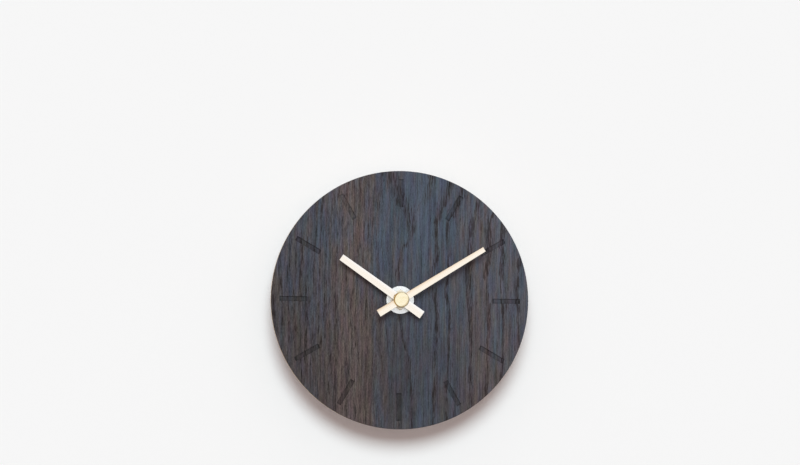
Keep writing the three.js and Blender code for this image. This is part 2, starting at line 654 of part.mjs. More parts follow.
// A moulded wheel with its pinion in front of it, on an arbor between two pivots.
function wheelAndPinion({
  place, level: number, teeth, module, direction, pinion, rearEnd, frontEnd, pierced = false,
}) {
  const low = level(number);
  const high = levelFront(number);
  const pinionFront = levelFront(number + 1) + PINION_OVERHANG;
  const hub = tipRadius(pinion.teeth, pinion.module) + SHAKE;
  const wheel = gear(teeth, module, direction, low, high, place);
  const web = pierced ? lightened(wheel, place, teeth, module, hub, low, high) : wheel;
  return web.add(gear(pinion.teeth, pinion.module, pinion.direction, low, pinionFront, place))
    .add(pin(place, PIVOT_DIAMETER / 2, rearEnd, frontEnd));
}

const bearingEnd = (tip, way) => tip + way * (BEARING_DEPTH - SHAKE);

const secondWheel = () => wheelAndPinion({
  place: CENTRE, level: SECOND_LEVEL, teeth: SECOND_TEETH, module: secondModule,
  direction: gapDirection(intermediateAxis, CENTRE, SECOND_TEETH),
  pinion: { teeth: SECOND_LEAVES, module: thirdModule, direction: directionOf(CENTRE, thirdAxis) },
  rearEnd: bearingEnd(level(SECOND_LEVEL) - SHAKE, -1), frontEnd: cannonRear - SHAKE,
});

const thirdWheel = () => wheelAndPinion({
  place: thirdAxis, level: THIRD_LEVEL, teeth: THIRD_TEETH, module: thirdModule, pierced: true,
  direction: gapDirection(CENTRE, thirdAxis, THIRD_TEETH),
  pinion: { teeth: THIRD_LEAVES, module: centreModule, direction: directionOf(thirdAxis, CENTRE) },
  rearEnd: bearingEnd(level(SECOND_LEVEL) - SHAKE, -1),
  frontEnd: bearingEnd(levelFront(CENTRE_LEVEL) + LEVEL_GAP, 1),
});

const intermediateWheel = () => wheelAndPinion({
  place: intermediateAxis, level: INTERMEDIATE_LEVEL, teeth: INTERMEDIATE_TEETH, module: rotorModule,
  direction: gapDirection(rotorAxis, intermediateAxis, INTERMEDIATE_TEETH),
  pinion: {
    teeth: INTERMEDIATE_LEAVES, module: secondModule, direction: directionOf(intermediateAxis, CENTRE),
  },
  rearEnd: bearingEnd(level(INTERMEDIATE_LEVEL) - SHAKE, -1),
  frontEnd: bearingEnd(levelFront(CENTRE_LEVEL) + LEVEL_GAP, 1),
});

const cannonRear = levelFront(CENTRE_LEVEL) + SPRING_THICKNESS + 2 * SEAT;
const cannonRimFront = level(CENTRE_LEVEL) - SEAT;
const cannonRimRear = cannonRimFront - CANNON_RIM_THICKNESS;

function centreWheel() {
  const low = level(CENTRE_LEVEL);
  const high = levelFront(CENTRE_LEVEL);
  const bore = boreRadius(CANNON_SPIGOT_DIAMETER, SEAT);
  const hub = CANNON_SPIGOT_DIAMETER / 2 + CANNON_RIM + SHAKE;
  const wheel = gear(CENTRE_TEETH, centreModule, gapDirection(thirdAxis, CENTRE, CENTRE_TEETH), low, high);
  return lightened(wheel, CENTRE, CENTRE_TEETH, centreModule, hub, low, high)
    .subtract(pin(CENTRE, bore, low - BEYOND, high + BEYOND));
}

// The minute arbor: a brass rod with the cannon pinion, the staked rim that holds the centre wheel
// against its friction spring, and a bearing in its rear end for the second wheel.
function minuteArbor() {
  const bore = boreRadius(PIVOT_DIAMETER, RUN);
  const spigot = CANNON_SPIGOT_DIAMETER / 2;
  const rim = spigot + CANNON_RIM;
  const arbor = minuteArborDiameter / 2;
  const thread = CAP_THREAD_DIAMETER / 2;
  const rod = turned([
    [0, cannonRear], [bore, cannonRear], [bore, cannonRimRear], [rim, cannonRimRear],
    [rim, cannonRimFront], [spigot, cannonRimFront], [spigot, cannonRear + SEAT],
    [arbor, cannonRear + SEAT], [arbor, capRear - SEAT], [thread, capRear - SEAT],
    [thread, threadEnd], [0, threadEnd],
  ], PIN_SIDES);
  const leaves = gear(CANNON_LEAVES, minuteModule, directionOf(CENTRE, minuteWheelAxis),
    cannonRear, levelFront(MINUTE_LEVEL) + PINION_OVERHANG);
  return rod.add(leaves);
}

// A three-armed spring, slightly dished in the real one, between the centre wheel and the cannon.
function frictionSpring() {
  const inner = boreRadius(CANNON_SPIGOT_DIAMETER, SEAT);
  const mean = inner + SPRING_WIDTH;
  const lobe = (step) => {
    const angle = 2 * Math.PI * step / DISC_SIDES;
    const radius = mean + SPRING_LOBE * Math.cos(SPRING_ARMS * angle);
    return [radius * Math.cos(angle), radius * Math.sin(angle)];
  };
  const rear = levelFront(CENTRE_LEVEL) + SEAT;
  return plate(outline(Array.from({ length: DISC_SIDES }, (_, step) => lobe(step))),
    rear, rear + SPRING_THICKNESS).subtract(pin(CENTRE, inner, rear - BEYOND, rear + BEYOND));
}

function minuteWheel() {
  const low = level(MINUTE_LEVEL);
  const high = levelFront(MINUTE_LEVEL);
  const bore = boreRadius(STUD_DIAMETER, RUN / 2);
  const front = levelFront(HOUR_LEVEL) + PINION_OVERHANG;
  return gear(MINUTE_WHEEL_TEETH, minuteModule,
    gapDirection(CENTRE, minuteWheelAxis, MINUTE_WHEEL_TEETH), low, high, minuteWheelAxis)
    .add(gear(MINUTE_WHEEL_LEAVES, hourModule, directionOf(minuteWheelAxis, CENTRE),
      low, front, minuteWheelAxis))
    .subtract(pin(minuteWheelAxis, bore, low - BEYOND, front + BEYOND));
}

function hourWheel() {
  const low = level(HOUR_LEVEL);
  const bore = boreRadius(hourPipeBoreDiameter, 0, RING_SIDES);
  const wheel = gear(HOUR_WHEEL_TEETH, hourModule,
    gapDirection(minuteWheelAxis, CENTRE, HOUR_WHEEL_TEETH), low, levelFront(HOUR_LEVEL));
  return wheel.add(pin(CENTRE, hourPipeDiameter / 2, low, hourPipeEnd, RING_SIDES))
    .subtract(pin(CENTRE, bore, low - BEYOND, hourPipeEnd + BEYOND, RING_SIDES));
}

// Setting works

function setArbor() {
  const wheelTooth = gapDirection(CENTRE, minuteWheelAxis, MINUTE_WHEEL_TEETH);
  const towardsSet = directionOf(minuteWheelAxis, setAxis);
  const pitchAngle = 2 * Math.PI / MINUTE_WHEEL_TEETH;
  // how far the nearest wheel tooth stands from the line between the two axes
  const offset = wheelTooth - towardsSet - pitchAngle * Math.round((wheelTooth - towardsSet) / pitchAngle);
  const direction = towardsSet + Math.PI + Math.PI / SET_LEAVES
    - offset * MINUTE_WHEEL_TEETH / SET_LEAVES;
  const rearEnd = KNOB_RECESS + KNOB_HEIGHT / 2;
  return gear(SET_LEAVES, minuteModule, direction, level(MINUTE_LEVEL) - PINION_OVERHANG,
    levelFront(MINUTE_LEVEL) + PINION_OVERHANG, setAxis)
    .add(pin(setAxis, SET_ARBOR_DIAMETER / 2, rearEnd, levelFront(MINUTE_LEVEL) + PINION_OVERHANG))
    .add(pin(setAxis, PIVOT_DIAMETER / 2, rearEnd, bearingEnd(levelFront(MINUTE_LEVEL) + LEVEL_GAP, 1)));
}

function setKnob() {
  const front = KNOB_RECESS + KNOB_HEIGHT;
  const rearEnd = KNOB_RECESS + KNOB_HEIGHT / 2;
  const radius = KNOB_DIAMETER / 2;
  let knob = turned([
    [0, KNOB_RECESS], [radius - KNOB_EDGE, KNOB_RECESS], [radius, KNOB_RECESS + KNOB_EDGE],
    [radius, front], [0, front],
  ], DISC_SIDES, setAxis);
  for (let grip = 0; grip < KNOB_GRIPS; grip++) {
    const at = polar(radius, 360 * grip / KNOB_GRIPS).add(setAxis);
    knob = knob.subtract(pin(at, KNOB_GRIP_DEPTH, -BEYOND, front + BEYOND, GRIP_SIDES));
  }
  const bore = boreRadius(SET_ARBOR_DIAMETER, SEAT);
  return knob.subtract(pin(setAxis, bore, rearEnd - SEAT, front + BEYOND));
}

// Stepping motor

function rotorPinion() {
  const low = magnetRear + MAGNET_THICKNESS + SEAT;
  const high = levelFront(INTERMEDIATE_LEVEL) + PINION_OVERHANG;
  return gear(ROTOR_LEAVES, rotorModule, directionOf(rotorAxis, intermediateAxis), low, high, rotorAxis)
    .add(pin(rotorAxis, PIVOT_DIAMETER / 2, bearingEnd(magnetRear - SHAKE, -1) + SHAKE,
      bearingEnd(levelFront(INTERMEDIATE_LEVEL) + LEVEL_GAP, 1)));
}

const rotorMagnet = () => ring(MAGNET_DIAMETER / 2, boreRadius(PIVOT_DIAMETER, SEAT, RING_SIDES),
  magnetRear, magnetRear + MAGNET_THICKNESS, RING_SIDES, rotorAxis);

// Half of the stator: from its end of the coil's core to its side of the rotor.
function stator(side) {
  const half = STATOR_WIDTH / 2;
  const reach = coreHalfLength;
  const inner = reach - CORE_END;
  const coreEdge = coilX - rotorAxis.x + CORE_WIDTH / 2;
  const shape = outline([
    [-half, STATOR_SPLIT / 2], [half, STATOR_SPLIT / 2], [half, inner], [coreEdge, inner],
    [coreEdge, reach], [0, reach], [-half, reach / 2],
  ].map(([x, y]) => [rotorAxis.x + x, rotorAxis.y + side * y]));
  const front = statorRear + STATOR_THICKNESS;
  const pinAt = corePins[side < 0 ? 0 : 1];
  return plate(shape, statorRear, front)
    .subtract(pin(rotorAxis, MAGNET_DIAMETER / 2 + AIR_GAP, statorRear - BEYOND, front + BEYOND, DISC_SIDES))
    .subtract(pin(pinAt, boreRadius(FIXING_PIN_DIAMETER, SEAT), statorRear - BEYOND, front + BEYOND));
}

function coilCore() {
  let core = box(coilX - CORE_WIDTH / 2, rotorAxis.y - coreHalfLength, coreRear,
    coilX + CORE_WIDTH / 2, rotorAxis.y + coreHalfLength, coreFront);
  for (const place of corePins) {
    core = core.subtract(
      pin(place, boreRadius(FIXING_PIN_DIAMETER, SEAT), coreRear - BEYOND, coreFront + BEYOND));
  }
  return core;
}

// A block round the coil's core, given by its width, thickness and length.
const coilBlock = (width, thickness, length, middle = rotorAxis.y) => box(
  coilX - width / 2, middle - length / 2, coreMiddle - thickness / 2,
  coilX + width / 2, middle + length / 2, coreMiddle + thickness / 2);

const sleeveWidth = CORE_WIDTH + 2 * SEAT + 2 * BOBBIN_WALL;
const sleeveThickness = STATOR_THICKNESS + 2 * SEAT + 2 * BOBBIN_WALL;

function coilBobbin() {
  const flangeMiddle = (BOBBIN_LENGTH - BOBBIN_FLANGE) / 2;
  const flange = (sign) => coilBlock(WINDING_WIDTH + 2 * SEAT, WINDING_THICKNESS + 2 * SEAT,
    BOBBIN_FLANGE, rotorAxis.y + sign * flangeMiddle);
  return coilBlock(sleeveWidth, sleeveThickness, BOBBIN_LENGTH).add(flange(-1)).add(flange(1))
    .subtract(coilBlock(CORE_WIDTH + 2 * SEAT, STATOR_THICKNESS + 2 * SEAT, BOBBIN_LENGTH + BEYOND));
}

function coilWinding() {
  const length = BOBBIN_LENGTH - 2 * BOBBIN_FLANGE - 2 * SEAT;
  const half = WINDING_WIDTH / 2;
  const shape = roundedRectangle(-half, -WINDING_THICKNESS / 2, half, WINDING_THICKNESS / 2,
    WINDING_CORNER);
  return plate(shape, -length / 2, length / 2).rotate([90, 0, 0])
    .translate([coilX, rotorAxis.y, coreMiddle])
    .subtract(coilBlock(sleeveWidth + 2 * SEAT, sleeveThickness + 2 * SEAT, BOBBIN_LENGTH));
}

// Circuit and cell

function circuitBoard() {
  let board = box(circuitLeft, circuitBottom, circuitRear, circuitRight, circuitTop, circuitFront);
  for (const place of circuitPins) {
    board = board.subtract(
      pin(place, boreRadius(FIXING_PIN_DIAMETER, SEAT), circuitRear - BEYOND, circuitFront + BEYOND));
  }
  return board;
}

const chipPlace = new THREE.Vector2(
  circuitLeft + CHIP_TO_SIDE, circuitBottom + CHIP_TO_END);

function chip() {
  const low = circuitFront + SEAT;
  const radius = CHIP_DIAMETER / 2;
  return turned([
    [0, low], [radius, low], [radius - CHIP_LEAN, low + CHIP_HEIGHT - CHIP_CROWN],
    [0, low + CHIP_HEIGHT],
  ], PIN_SIDES, chipPlace);
}

function crystal() {
  const middle = circuitTop - CRYSTAL_TO_END - CRYSTAL_LENGTH / 2;
  return pin(CENTRE, CRYSTAL_DIAMETER / 2, -CRYSTAL_LENGTH / 2, CRYSTAL_LENGTH / 2)
    .rotate([90, 0, 0])
    .translate([chipPlace.x, middle, circuitFront + SEAT + CRYSTAL_DIAMETER / 2]);
}

const nubTip = caseInner - CONTACT_THICKNESS - 2 * SEAT;
const cellEnd = nubTip - CELL_LENGTH;

function batteryCell() {
  const radius = CELL_DIAMETER / 2;
  const shoulder = CELL_LENGTH - CELL_NUB_HEIGHT;
  const nub = CELL_NUB_DIAMETER / 2;
  return turned([
    [0, 0], [radius - CELL_EDGE, 0], [radius, CELL_EDGE], [radius, shoulder - CELL_EDGE],
    [radius - CELL_EDGE, shoulder], [nub, shoulder], [nub, CELL_LENGTH], [0, CELL_LENGTH],
  ], DISC_SIDES).rotate([0, 90, 0]).translate([cellEnd, cellAxisHeight, cellAxisDepth]);
}

const bladeRear = cellAxisDepth - CONTACT_BLADE_WIDTH / 2;
const bladeFront = cellAxisDepth + CONTACT_BLADE_WIDTH / 2;
const sheetOffset = SEAT + CONTACT_THICKNESS / 2;
const points = (...pairs) => pairs.map(([x, y]) => new THREE.Vector2(x, y));

// A flat blade behind the cell's nub, with a tail that runs along the partition to the circuit.
function positiveContact() {
  const x = caseInner - sheetOffset;
  const y = partitionTop + sheetOffset + SEAT;
  const tailEnd = circuitLeft + CONTACT_TAIL_PLACE;
  const bottom = cellAxisHeight - CONTACT_BLADE_WIDTH / 2;
  const blade = strip(points([x, bottom], [x, bayTop - SEAT]), CONTACT_THICKNESS, bladeRear, bladeFront);
  const join = strip(points([x, bayTop - CONTACT_BLADE_WIDTH / 2], [x, bayTop - SEAT]),
    CONTACT_THICKNESS, stripRear, bladeFront);
  const tail = strip(points([x, bayTop - CONTACT_BLADE_WIDTH / 2], [x, y], [tailEnd, y],
    [tailEnd, circuitBottom - SEAT]), CONTACT_THICKNESS, stripRear, stripFront);
  return blade.add(join).add(tail);
}

// A bowed leaf that presses on the cell's flat end, with a tail up the side wall to the circuit.
function negativeContact() {
  const x = -caseInner + sheetOffset;
  const bottom = cellAxisHeight - CONTACT_BLADE_WIDTH / 2;
  const freeX = x + 2 * CONTACT_THICKNESS;
  const peak = cellEnd - sheetOffset - SEAT;
  const bow = new THREE.QuadraticBezierCurve(
    new THREE.Vector2(x, bottom), new THREE.Vector2(2 * peak - (x + freeX) / 2, cellAxisHeight),
    new THREE.Vector2(freeX, bayTop - RUN - CONTACT_THICKNESS));
  const leaf = strip(bow.getPoints(BOW_STEPS), CONTACT_THICKNESS, bladeRear, bladeFront);
  const back = strip(points([x, bottom - CONTACT_THICKNESS], [x, bayTop - SEAT]),
    CONTACT_THICKNESS, stripRear, bladeFront);
  const tail = strip(points([x, bottom], [x, tailHeight], [circuitLeft - SEAT, tailHeight]),
    CONTACT_THICKNESS, stripRear, stripFront);
  return leaf.add(back).add(tail);
}

// Assembly

const clock = new THREE.Group();
const gasketHole = boreRadius(STEM_DIAMETER, SEAT, RING_SIDES);

clock.add(
  toMesh('dial_board', dialBoard(), STAINED_OAK),
  toMesh('rubber_gasket', ring(GASKET_DIAMETER / 2, gasketHole, gasketRear,
    gasketRear + GASKET_THICKNESS, RING_SIDES), RUBBER),
  toMesh('dial_washer', ring(WASHER_DIAMETER / 2, gasketHole, washerRear,
    washerRear + WASHER_THICKNESS, DISC_SIDES), NICKEL),
  toMesh('hex_nut', hexNut(), NICKEL),
  toMesh('stem_bush', stemBush(), BRASS),
  toMesh('front_case', frontCase(), BLACK_PLASTIC),
  toMesh('rear_cover', rearCover(), BLACK_PLASTIC),
  toMesh('hanger', hanger(), BLACK_PLASTIC),
  toMesh('set_knob', setKnob(), BLACK_PLASTIC),
  toMesh('set_arbor', setArbor(), WHITE_PLASTIC),
  toMesh('minute_wheel', minuteWheel(), WHITE_PLASTIC),
  toMesh('hour_wheel', hourWheel(), WHITE_PLASTIC),
  toMesh('centre_wheel', centreWheel(), WHITE_PLASTIC),
  toMesh('friction_spring', frictionSpring(), STEEL),
  toMesh('minute_arbor', minuteArbor(), BRASS),
  toMesh('third_wheel', thirdWheel(), WHITE_PLASTIC),
  toMesh('second_wheel', secondWheel(), WHITE_PLASTIC),
  toMesh('intermediate_wheel', intermediateWheel(), WHITE_PLASTIC),
  toMesh('rotor_pinion', rotorPinion(), WHITE_PLASTIC),
  toMesh('rotor_magnet', rotorMagnet(), STEEL),
  toMesh('stator_upper', stator(1), STEEL),
  toMesh('stator_lower', stator(-1), STEEL),
  toMesh('coil_core', coilCore(), STEEL),
  toMesh('coil_bobbin', coilBobbin(), WHITE_PLASTIC),
  toMesh('coil_winding', coilWinding(), COPPER),
  toMesh('circuit_board', circuitBoard(), GREEN_BOARD),
  toMesh('chip', chip(), BLACK_PLASTIC),
  toMesh('quartz_crystal', crystal(), STEEL),
  toMesh('battery_cell', batteryCell(), CELL_JACKET),
  toMesh('positive_contact', positiveContact(), STEEL),
  toMesh('negative_contact', negativeContact(), STEEL),
  toMesh('cap_nut', capNut(), BRASS),
);

// Each hand and its collet, turned together to the time shown at rest.
function addHand(name, turn, bar, hub) {
  const group = new THREE.Group();
  group.add(toMesh(name, bar, BRASS), toMesh(`${name}_collet`, hub, BRASS));
  group.rotation.z = degrees(turn);
  clock.add(group);
}

addHand('hour_hand', hourTurn,
  hand(HOUR_REACH, HOUR_TAIL, HOUR_TIP_WIDTH, HOUR_TAIL_WIDTH, hourPipeDiameter, hourHandRear),
  collet(hourPipeDiameter, hourColletRear));
addHand('minute_hand', minuteTurn,
  hand(MINUTE_REACH, MINUTE_TAIL, MINUTE_TIP_WIDTH, MINUTE_TAIL_WIDTH, minuteArborDiameter, minuteHandRear),
  collet(minuteArborDiameter, minuteColletRear));

clock.rotation.x = Math.PI / 2;
const wallClock = new THREE.Group();
wallClock.add(clock);

export default wallClock;
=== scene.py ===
import json
import math

import bmesh
import bpy
from mathutils import Euler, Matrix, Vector


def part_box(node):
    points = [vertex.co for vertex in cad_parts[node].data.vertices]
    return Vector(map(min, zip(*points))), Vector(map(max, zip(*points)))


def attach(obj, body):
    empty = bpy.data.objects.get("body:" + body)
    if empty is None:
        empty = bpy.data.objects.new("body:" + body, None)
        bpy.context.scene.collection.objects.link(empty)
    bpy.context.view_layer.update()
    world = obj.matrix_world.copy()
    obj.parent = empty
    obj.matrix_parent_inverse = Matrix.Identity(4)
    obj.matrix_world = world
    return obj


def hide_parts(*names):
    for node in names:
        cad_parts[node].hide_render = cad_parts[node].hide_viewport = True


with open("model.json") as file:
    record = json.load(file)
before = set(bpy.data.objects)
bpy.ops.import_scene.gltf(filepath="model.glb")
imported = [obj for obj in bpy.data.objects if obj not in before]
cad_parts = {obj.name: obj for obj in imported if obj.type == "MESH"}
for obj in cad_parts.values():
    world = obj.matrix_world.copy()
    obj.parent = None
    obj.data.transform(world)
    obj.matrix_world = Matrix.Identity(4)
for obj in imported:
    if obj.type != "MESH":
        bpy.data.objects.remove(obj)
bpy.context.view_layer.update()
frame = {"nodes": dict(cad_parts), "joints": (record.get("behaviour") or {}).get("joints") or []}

# Front case: the shell of the quartz movement, moulded in black ABS with a fine spark-eroded skin.
# A closed chamber holds the wheels and the motor on moulded posts, and an open bay below it takes
# the cell. The nut on the threaded stem clamps the case to the board.
mm = 0.001
# a cutter reaches past a face, places a hair apart are the same, and shapes to be joined overlap
past, hair, overlap = 3 * mm, 0.02 * mm, 0.1 * mm
case_low, case_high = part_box("front_case")
case_wall = 1.2 * mm
case_corner = 3 * mm
case_edge = 0.8 * mm
inner_half = case_high.x - case_wall
chamber_front = case_low.y + 1.4 * mm
chamber_floor = -10.99 * mm
bay_top = chamber_floor - case_wall
cover_seat = -1.3 * mm
stem_hole = 4.2 * mm
finger_half, finger_front = 8 * mm, -5.5 * mm
tongue_gap_half, tongue_gap_front = 6.7 * mm, -2.8 * mm
strip_depth, strip_front = 0.8 * mm, -4.4 * mm
long_edge = 10 * mm
# posts, in millimetres: a wheel's axis stands where its joint does
axes = {joint["child"]: (round(joint["pos_m"][0] / mm, 4), round(joint["pos_m"][2] / mm, 4))
        for joint in frame["joints"] if joint["type"] == "hinge"}
post_radius, pin_foot_radius, pin_radius = 1.6, 1.2, 0.75
coil_pins = ((22.02, 4.64), (22.02, 21.84))
circuit_pins = ((-14.8, 9.8), (-14.8, 22.8))
snap_half = 2.2 * mm
snap_front, snap_rear = -6 * mm, -4.2 * mm
# how far round from the right-hand wall each snap window is, and how far along its wall
snap_places = ((0, -1.86 * mm), (90, -14 * mm), (90, 14 * mm), (180, -14.1 * mm))


def deselect_all():
    if bpy.context.object and bpy.context.object.mode == "EDIT":
        bpy.ops.object.mode_set(mode="OBJECT")
    bpy.ops.object.select_all(action="DESELECT")


def work_on(piece):
    deselect_all()
    bpy.context.view_layer.objects.active = piece
    piece.select_set(True)


def settle(name):
    """Names the new primitive, and puts its place, turn and size into its mesh."""
    piece = bpy.context.object
    piece.name = piece.data.name = name
    bpy.ops.object.transform_apply(location=True, rotation=True, scale=True)
    return piece


def add_block(name, low, high):
    deselect_all()
    low, high = Vector(low), Vector(high)
    bpy.ops.mesh.primitive_cube_add(size=1, location=(low + high) / 2, scale=high - low)
    return settle(name)


def add_drum(name, radius, front, back, sides=64, x=0, z=0):
    """A cylinder whose axis runs from the dial to the wall."""
    deselect_all()
    bpy.ops.mesh.primitive_cylinder_add(
        vertices=sides, radius=radius, depth=back - front,
        location=(x, (front + back) / 2, z), rotation=(math.radians(90), 0, 0))
    return settle(name)


def turn_about_axis(piece, degrees):
    """Turns a piece clockwise about the clock's axis, as seen from the front."""
    piece.rotation_euler.y = math.radians(degrees)
    work_on(piece)
    bpy.ops.object.transform_apply(location=False, rotation=True, scale=False)
    return piece


def open_mesh(piece, kind):
    work_on(piece)
    bpy.ops.object.mode_set(mode="EDIT")
    bpy.ops.mesh.select_mode(type=kind)
    bpy.ops.mesh.select_all(action="DESELECT")
    mesh = bmesh.from_edit_mesh(piece.data)
    mesh.normal_update()
    return mesh


def pick_edges(piece, test):
    """Selects in edit mode the edges whose two ends pass a test."""
    for edge in open_mesh(piece, "EDGE").edges:
        edge.select_set(test(edge.verts[0].co, edge.verts[1].co))
    bmesh.update_edit_mesh(piece.data)


def leave_mesh():
    bpy.ops.object.mode_set(mode="OBJECT")


def bevel_edges(piece, test, width, steps=3):
    pick_edges(piece, test)
    bpy.ops.mesh.bevel(offset=width, segments=steps, affect="EDGES")
    leave_mesh()


def apply_step(piece, step):
    work_on(piece)
    bpy.ops.object.modifier_apply(modifier=step.name)


def combine(piece, tool, how="DIFFERENCE"):
    """Cuts a tool from a piece, joins it on, or keeps what both hold, and throws the tool away."""
    step = piece.modifiers.new("combine", "BOOLEAN")
    step.operation = how
    step.solver = "EXACT"
    step.object = tool
    apply_step(piece, step)
    bpy.data.meshes.remove(tool.data)


def smooth(piece, angle=35):
    """Shades the rounded faces smooth, and lets the wide flat ones keep their own shading."""
    work_on(piece)
    bpy.ops.object.shade_smooth_by_angle(angle=math.radians(angle))
    step = piece.modifiers.new("flat faces", "WEIGHTED_NORMAL")
    step.keep_sharp = True
    apply_step(piece, step)


def soften(piece, width, steps=2, angle=35):
    """Breaks the sharp edges, as a mould or a file does."""
    step = piece.modifiers.new("soft edges", "BEVEL")
    step.width = width
    step.segments = steps
    step.limit_method = "ANGLE"
    step.angle_limit = math.radians(angle)
    apply_step(piece, step)
    smooth(piece, angle)


def feed(node, inputs):
    """Links each input that is given as a socket, and sets the others."""
    for key, value in inputs.items():
        if isinstance(value, bpy.types.NodeSocket):
            node.id_data.links.new(value, node.inputs[key])
        else:
            node.inputs[key].default_value = value


def source(tree, kind):
    """The outputs of a new node that nothing feeds."""
    return tree.nodes.new("ShaderNode" + kind).outputs


def wire(kind, inputs, **settings):
    """A new node, in the node tree that its inputs come from."""
    tree = next(value.id_data for value in inputs.values() if isinstance(value, bpy.types.NodeSocket))
    node = tree.nodes.new("ShaderNode" + kind)
    for key, value in settings.items():
        setattr(node, key, value)
    feed(node, inputs)
    return node


def reckon(operation, *terms):
    return wire("Math", dict(enumerate(terms)), operation=operation).outputs[0]


def times(first, second):
    return reckon("MULTIPLY", first, second)


def between(value, start, end, low=0.0, high=1.0):
    """A value that runs smoothly from low to high as another one runs from start to end."""
    return wire("MapRange", {0: value, 1: start, 2: end, 3: low, 4: high},
                interpolation_type="SMOOTHSTEP").outputs[0]


def tint(share, first, second, how="MIX"):
    return wire("Mix", {0: share, 6: first, 7: second},
                data_type="RGBA", blend_type=how).outputs[2]


def mottle(place, scale, detail=2.0):
    return wire("TexNoise", {"Vector": place, "Scale": scale, "Detail": detail}).outputs["Fac"]


def colour(red, green, blue):
    """A screen colour as the linear one that a shader takes."""
    def linear(level):
        share = level / 255
        return share / 12.92 if share <= 0.04045 else ((share + 0.055) / 1.055) ** 2.4
    return linear(red), linear(green), linear(blue), 1.0


def new_group(name, inputs, outputs):
    group = bpy.data.node_groups.new(name, "ShaderNodeTree")
    for way, sockets in (("INPUT", inputs), ("OUTPUT", outputs)):
        for socket, kind in sockets.items():
            group.interface.new_socket(socket, in_out=way, socket_type="NodeSocket" + kind)
    return group, group.nodes.new("NodeGroupInput").outputs, group.nodes.new("NodeGroupOutput")


def new_finish(name):
    """A new material, its shader, and the place on the piece."""
    finish = bpy.data.materials.new(name)
    finish.use_nodes = True
    tree = finish.node_tree
    return finish, tree.nodes["Principled BSDF"], source(tree, "TexCoord")["Object"]


def roughen(shader, height, depth, strength=1.0):
    feed(shader, {"Normal": wire("Bump", {
        "Height": height, "Distance": depth, "Strength": strength}).outputs[0]})


def moulded_skin():
    """The skin that a mould leaves: a fine grain, slow clouds of flow, and rubbed spots."""
    group, given, result = new_group("moulded skin", {"Place": "Vector", "Grain": "Float"}, {
        "Cloud": "Float", "Height": "Float", "Rub": "Float"})
    grain = given["Grain"]
    fine = mottle(given["Place"], grain, 1.0)
    coarse = mottle(given["Place"], times(grain, 0.3), 2.0)
    slow = mottle(given["Place"], times(grain, 0.012), 3.0)
    spots = mottle(given["Place"], times(grain, 0.05), 5.0)
    feed(result, {
        "Cloud": slow,
        "Height": reckon("ADD", times(fine, 0.6), times(coarse, 0.4)),
        "Rub": between(spots, 0.58, 0.72),
    })
    return group


skin_group = moulded_skin()


def moulded_plastic(name, dark, light, rubbed, gloss, grain=7000.0):
    finish, shader, place = new_finish(name)
    skin = wire("Group", {"Place": place, "Grain": grain}, node_tree=skin_group).outputs
    cloud = between(skin["Cloud"], 0.3, 0.7)
    body = tint(cloud, dark, light)
    feed(shader, {
        "Base Color": tint(times(skin["Rub"], 0.35), body, rubbed),
        "Roughness": between(reckon("SUBTRACT", skin["Cloud"], times(skin["Rub"], 0.2)),
                             0.2, 0.8, gloss - 0.08, gloss + 0.08),
        "Specular IOR Level": 0.45,
    })
    roughen(shader, skin["Height"], 0.02 * mm, 0.6)
    return finish


def fit(piece, finish, body, node):
    """Gives a piece its finish, and sets it on its body in place of the plain solid."""
    piece.data.materials.clear()
    piece.data.materials.append(finish)
    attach(piece, body)
    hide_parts(node)


black_moulding = moulded_plastic("black_moulding", colour(29, 30, 32), colour(38, 39, 41),
                                 colour(58, 59, 61), 0.46)

case = add_block("movement_case", case_low, case_high)
bevel_edges(case, lambda a, b: abs(a.y - b.y) > long_edge, case_corner, 8)
bevel_edges(case, lambda a, b: max(a.y, b.y) < case_low.y + hair, case_edge, 3)
combine(case, add_block("seat_cut", (-1, cover_seat, bay_top), (1, past, 1)))
chamber = add_block("chamber_cut", (-inner_half, chamber_front, chamber_floor),
                    (inner_half, past, inner_half))
bevel_edges(chamber, lambda a, b: abs(a.y - b.y) > long_edge and a.z > 0, case_corner - case_wall, 6)
combine(case, chamber)
combine(case, add_block("bay_cut", (-inner_half, chamber_front, case_low.z + case_wall),
                        (inner_half, past, bay_top)))
combine(case, add_drum("stem_cut", stem_hole, case_low.y - past, chamber_front + past))
combine(case, add_block("finger_cut", (-finger_half, finger_front, case_low.z - past),
                        (finger_half, past, case_low.z + case_wall + hair)))
combine(case, add_block("hanger_cut", (-tongue_gap_half, tongue_gap_front, inner_half - hair),
                        (tongue_gap_half, past, case_high.z + past)))
for wall, along in snap_places:
    window = add_block("snap_cut", (inner_half - past, snap_front, along - snap_half),
                       (case_high.x + past, snap_rear, along + snap_half))
    combine(case, turn_about_axis(window, -wall))
for side in (-1, 1):
    ends = sorted((side * inner_half, side * (inner_half - strip_depth)))
    combine(case, add_block("strip_cut", (ends[0], strip_front, bay_top - hair),
                            (ends[1], past, chamber_floor + hair)))
soften(case, 0.18 * mm)
# posts: place, radius and how far their tips stand from the wall
posts = [(axes["third"], post_radius, 11.35), (axes["intermediate"], post_radius, 11.35),
         (axes["rotor"], post_radius, 6.7), (axes["setting_works"], post_radius, 12.9),
         (axes["motion_wheel"], pin_radius, 11.35)]
for pins, foot_tip, pin_tip in ((coil_pins, 5.1, 3.0), (circuit_pins, 3.5, 2.3)):
    posts += [(place, pin_foot_radius, foot_tip) for place in pins]
    posts += [(place, pin_radius, pin_tip) for place in pins]
for (x, z), radius, tip in posts:
    combine(case, add_drum("post", radius * mm, chamber_front - overlap, -tip * mm, 20, x * mm, z * mm),
            "UNION")
smooth(case)
fit(case, black_moulding, "clock_body", "front_case")

# Stem bush and minute arbor: both turned from brass bar on an automatic lathe. The bush has a fine
# thread for the nut and is pressed into the case, and the arbor carries the cannon pinion through it.
lathe_pitch = 0.12 * mm
thread_pitch = 0.75 * mm
# how many bands a wave texture of scale 1 has in one unit of length
wave_bands = 3.2


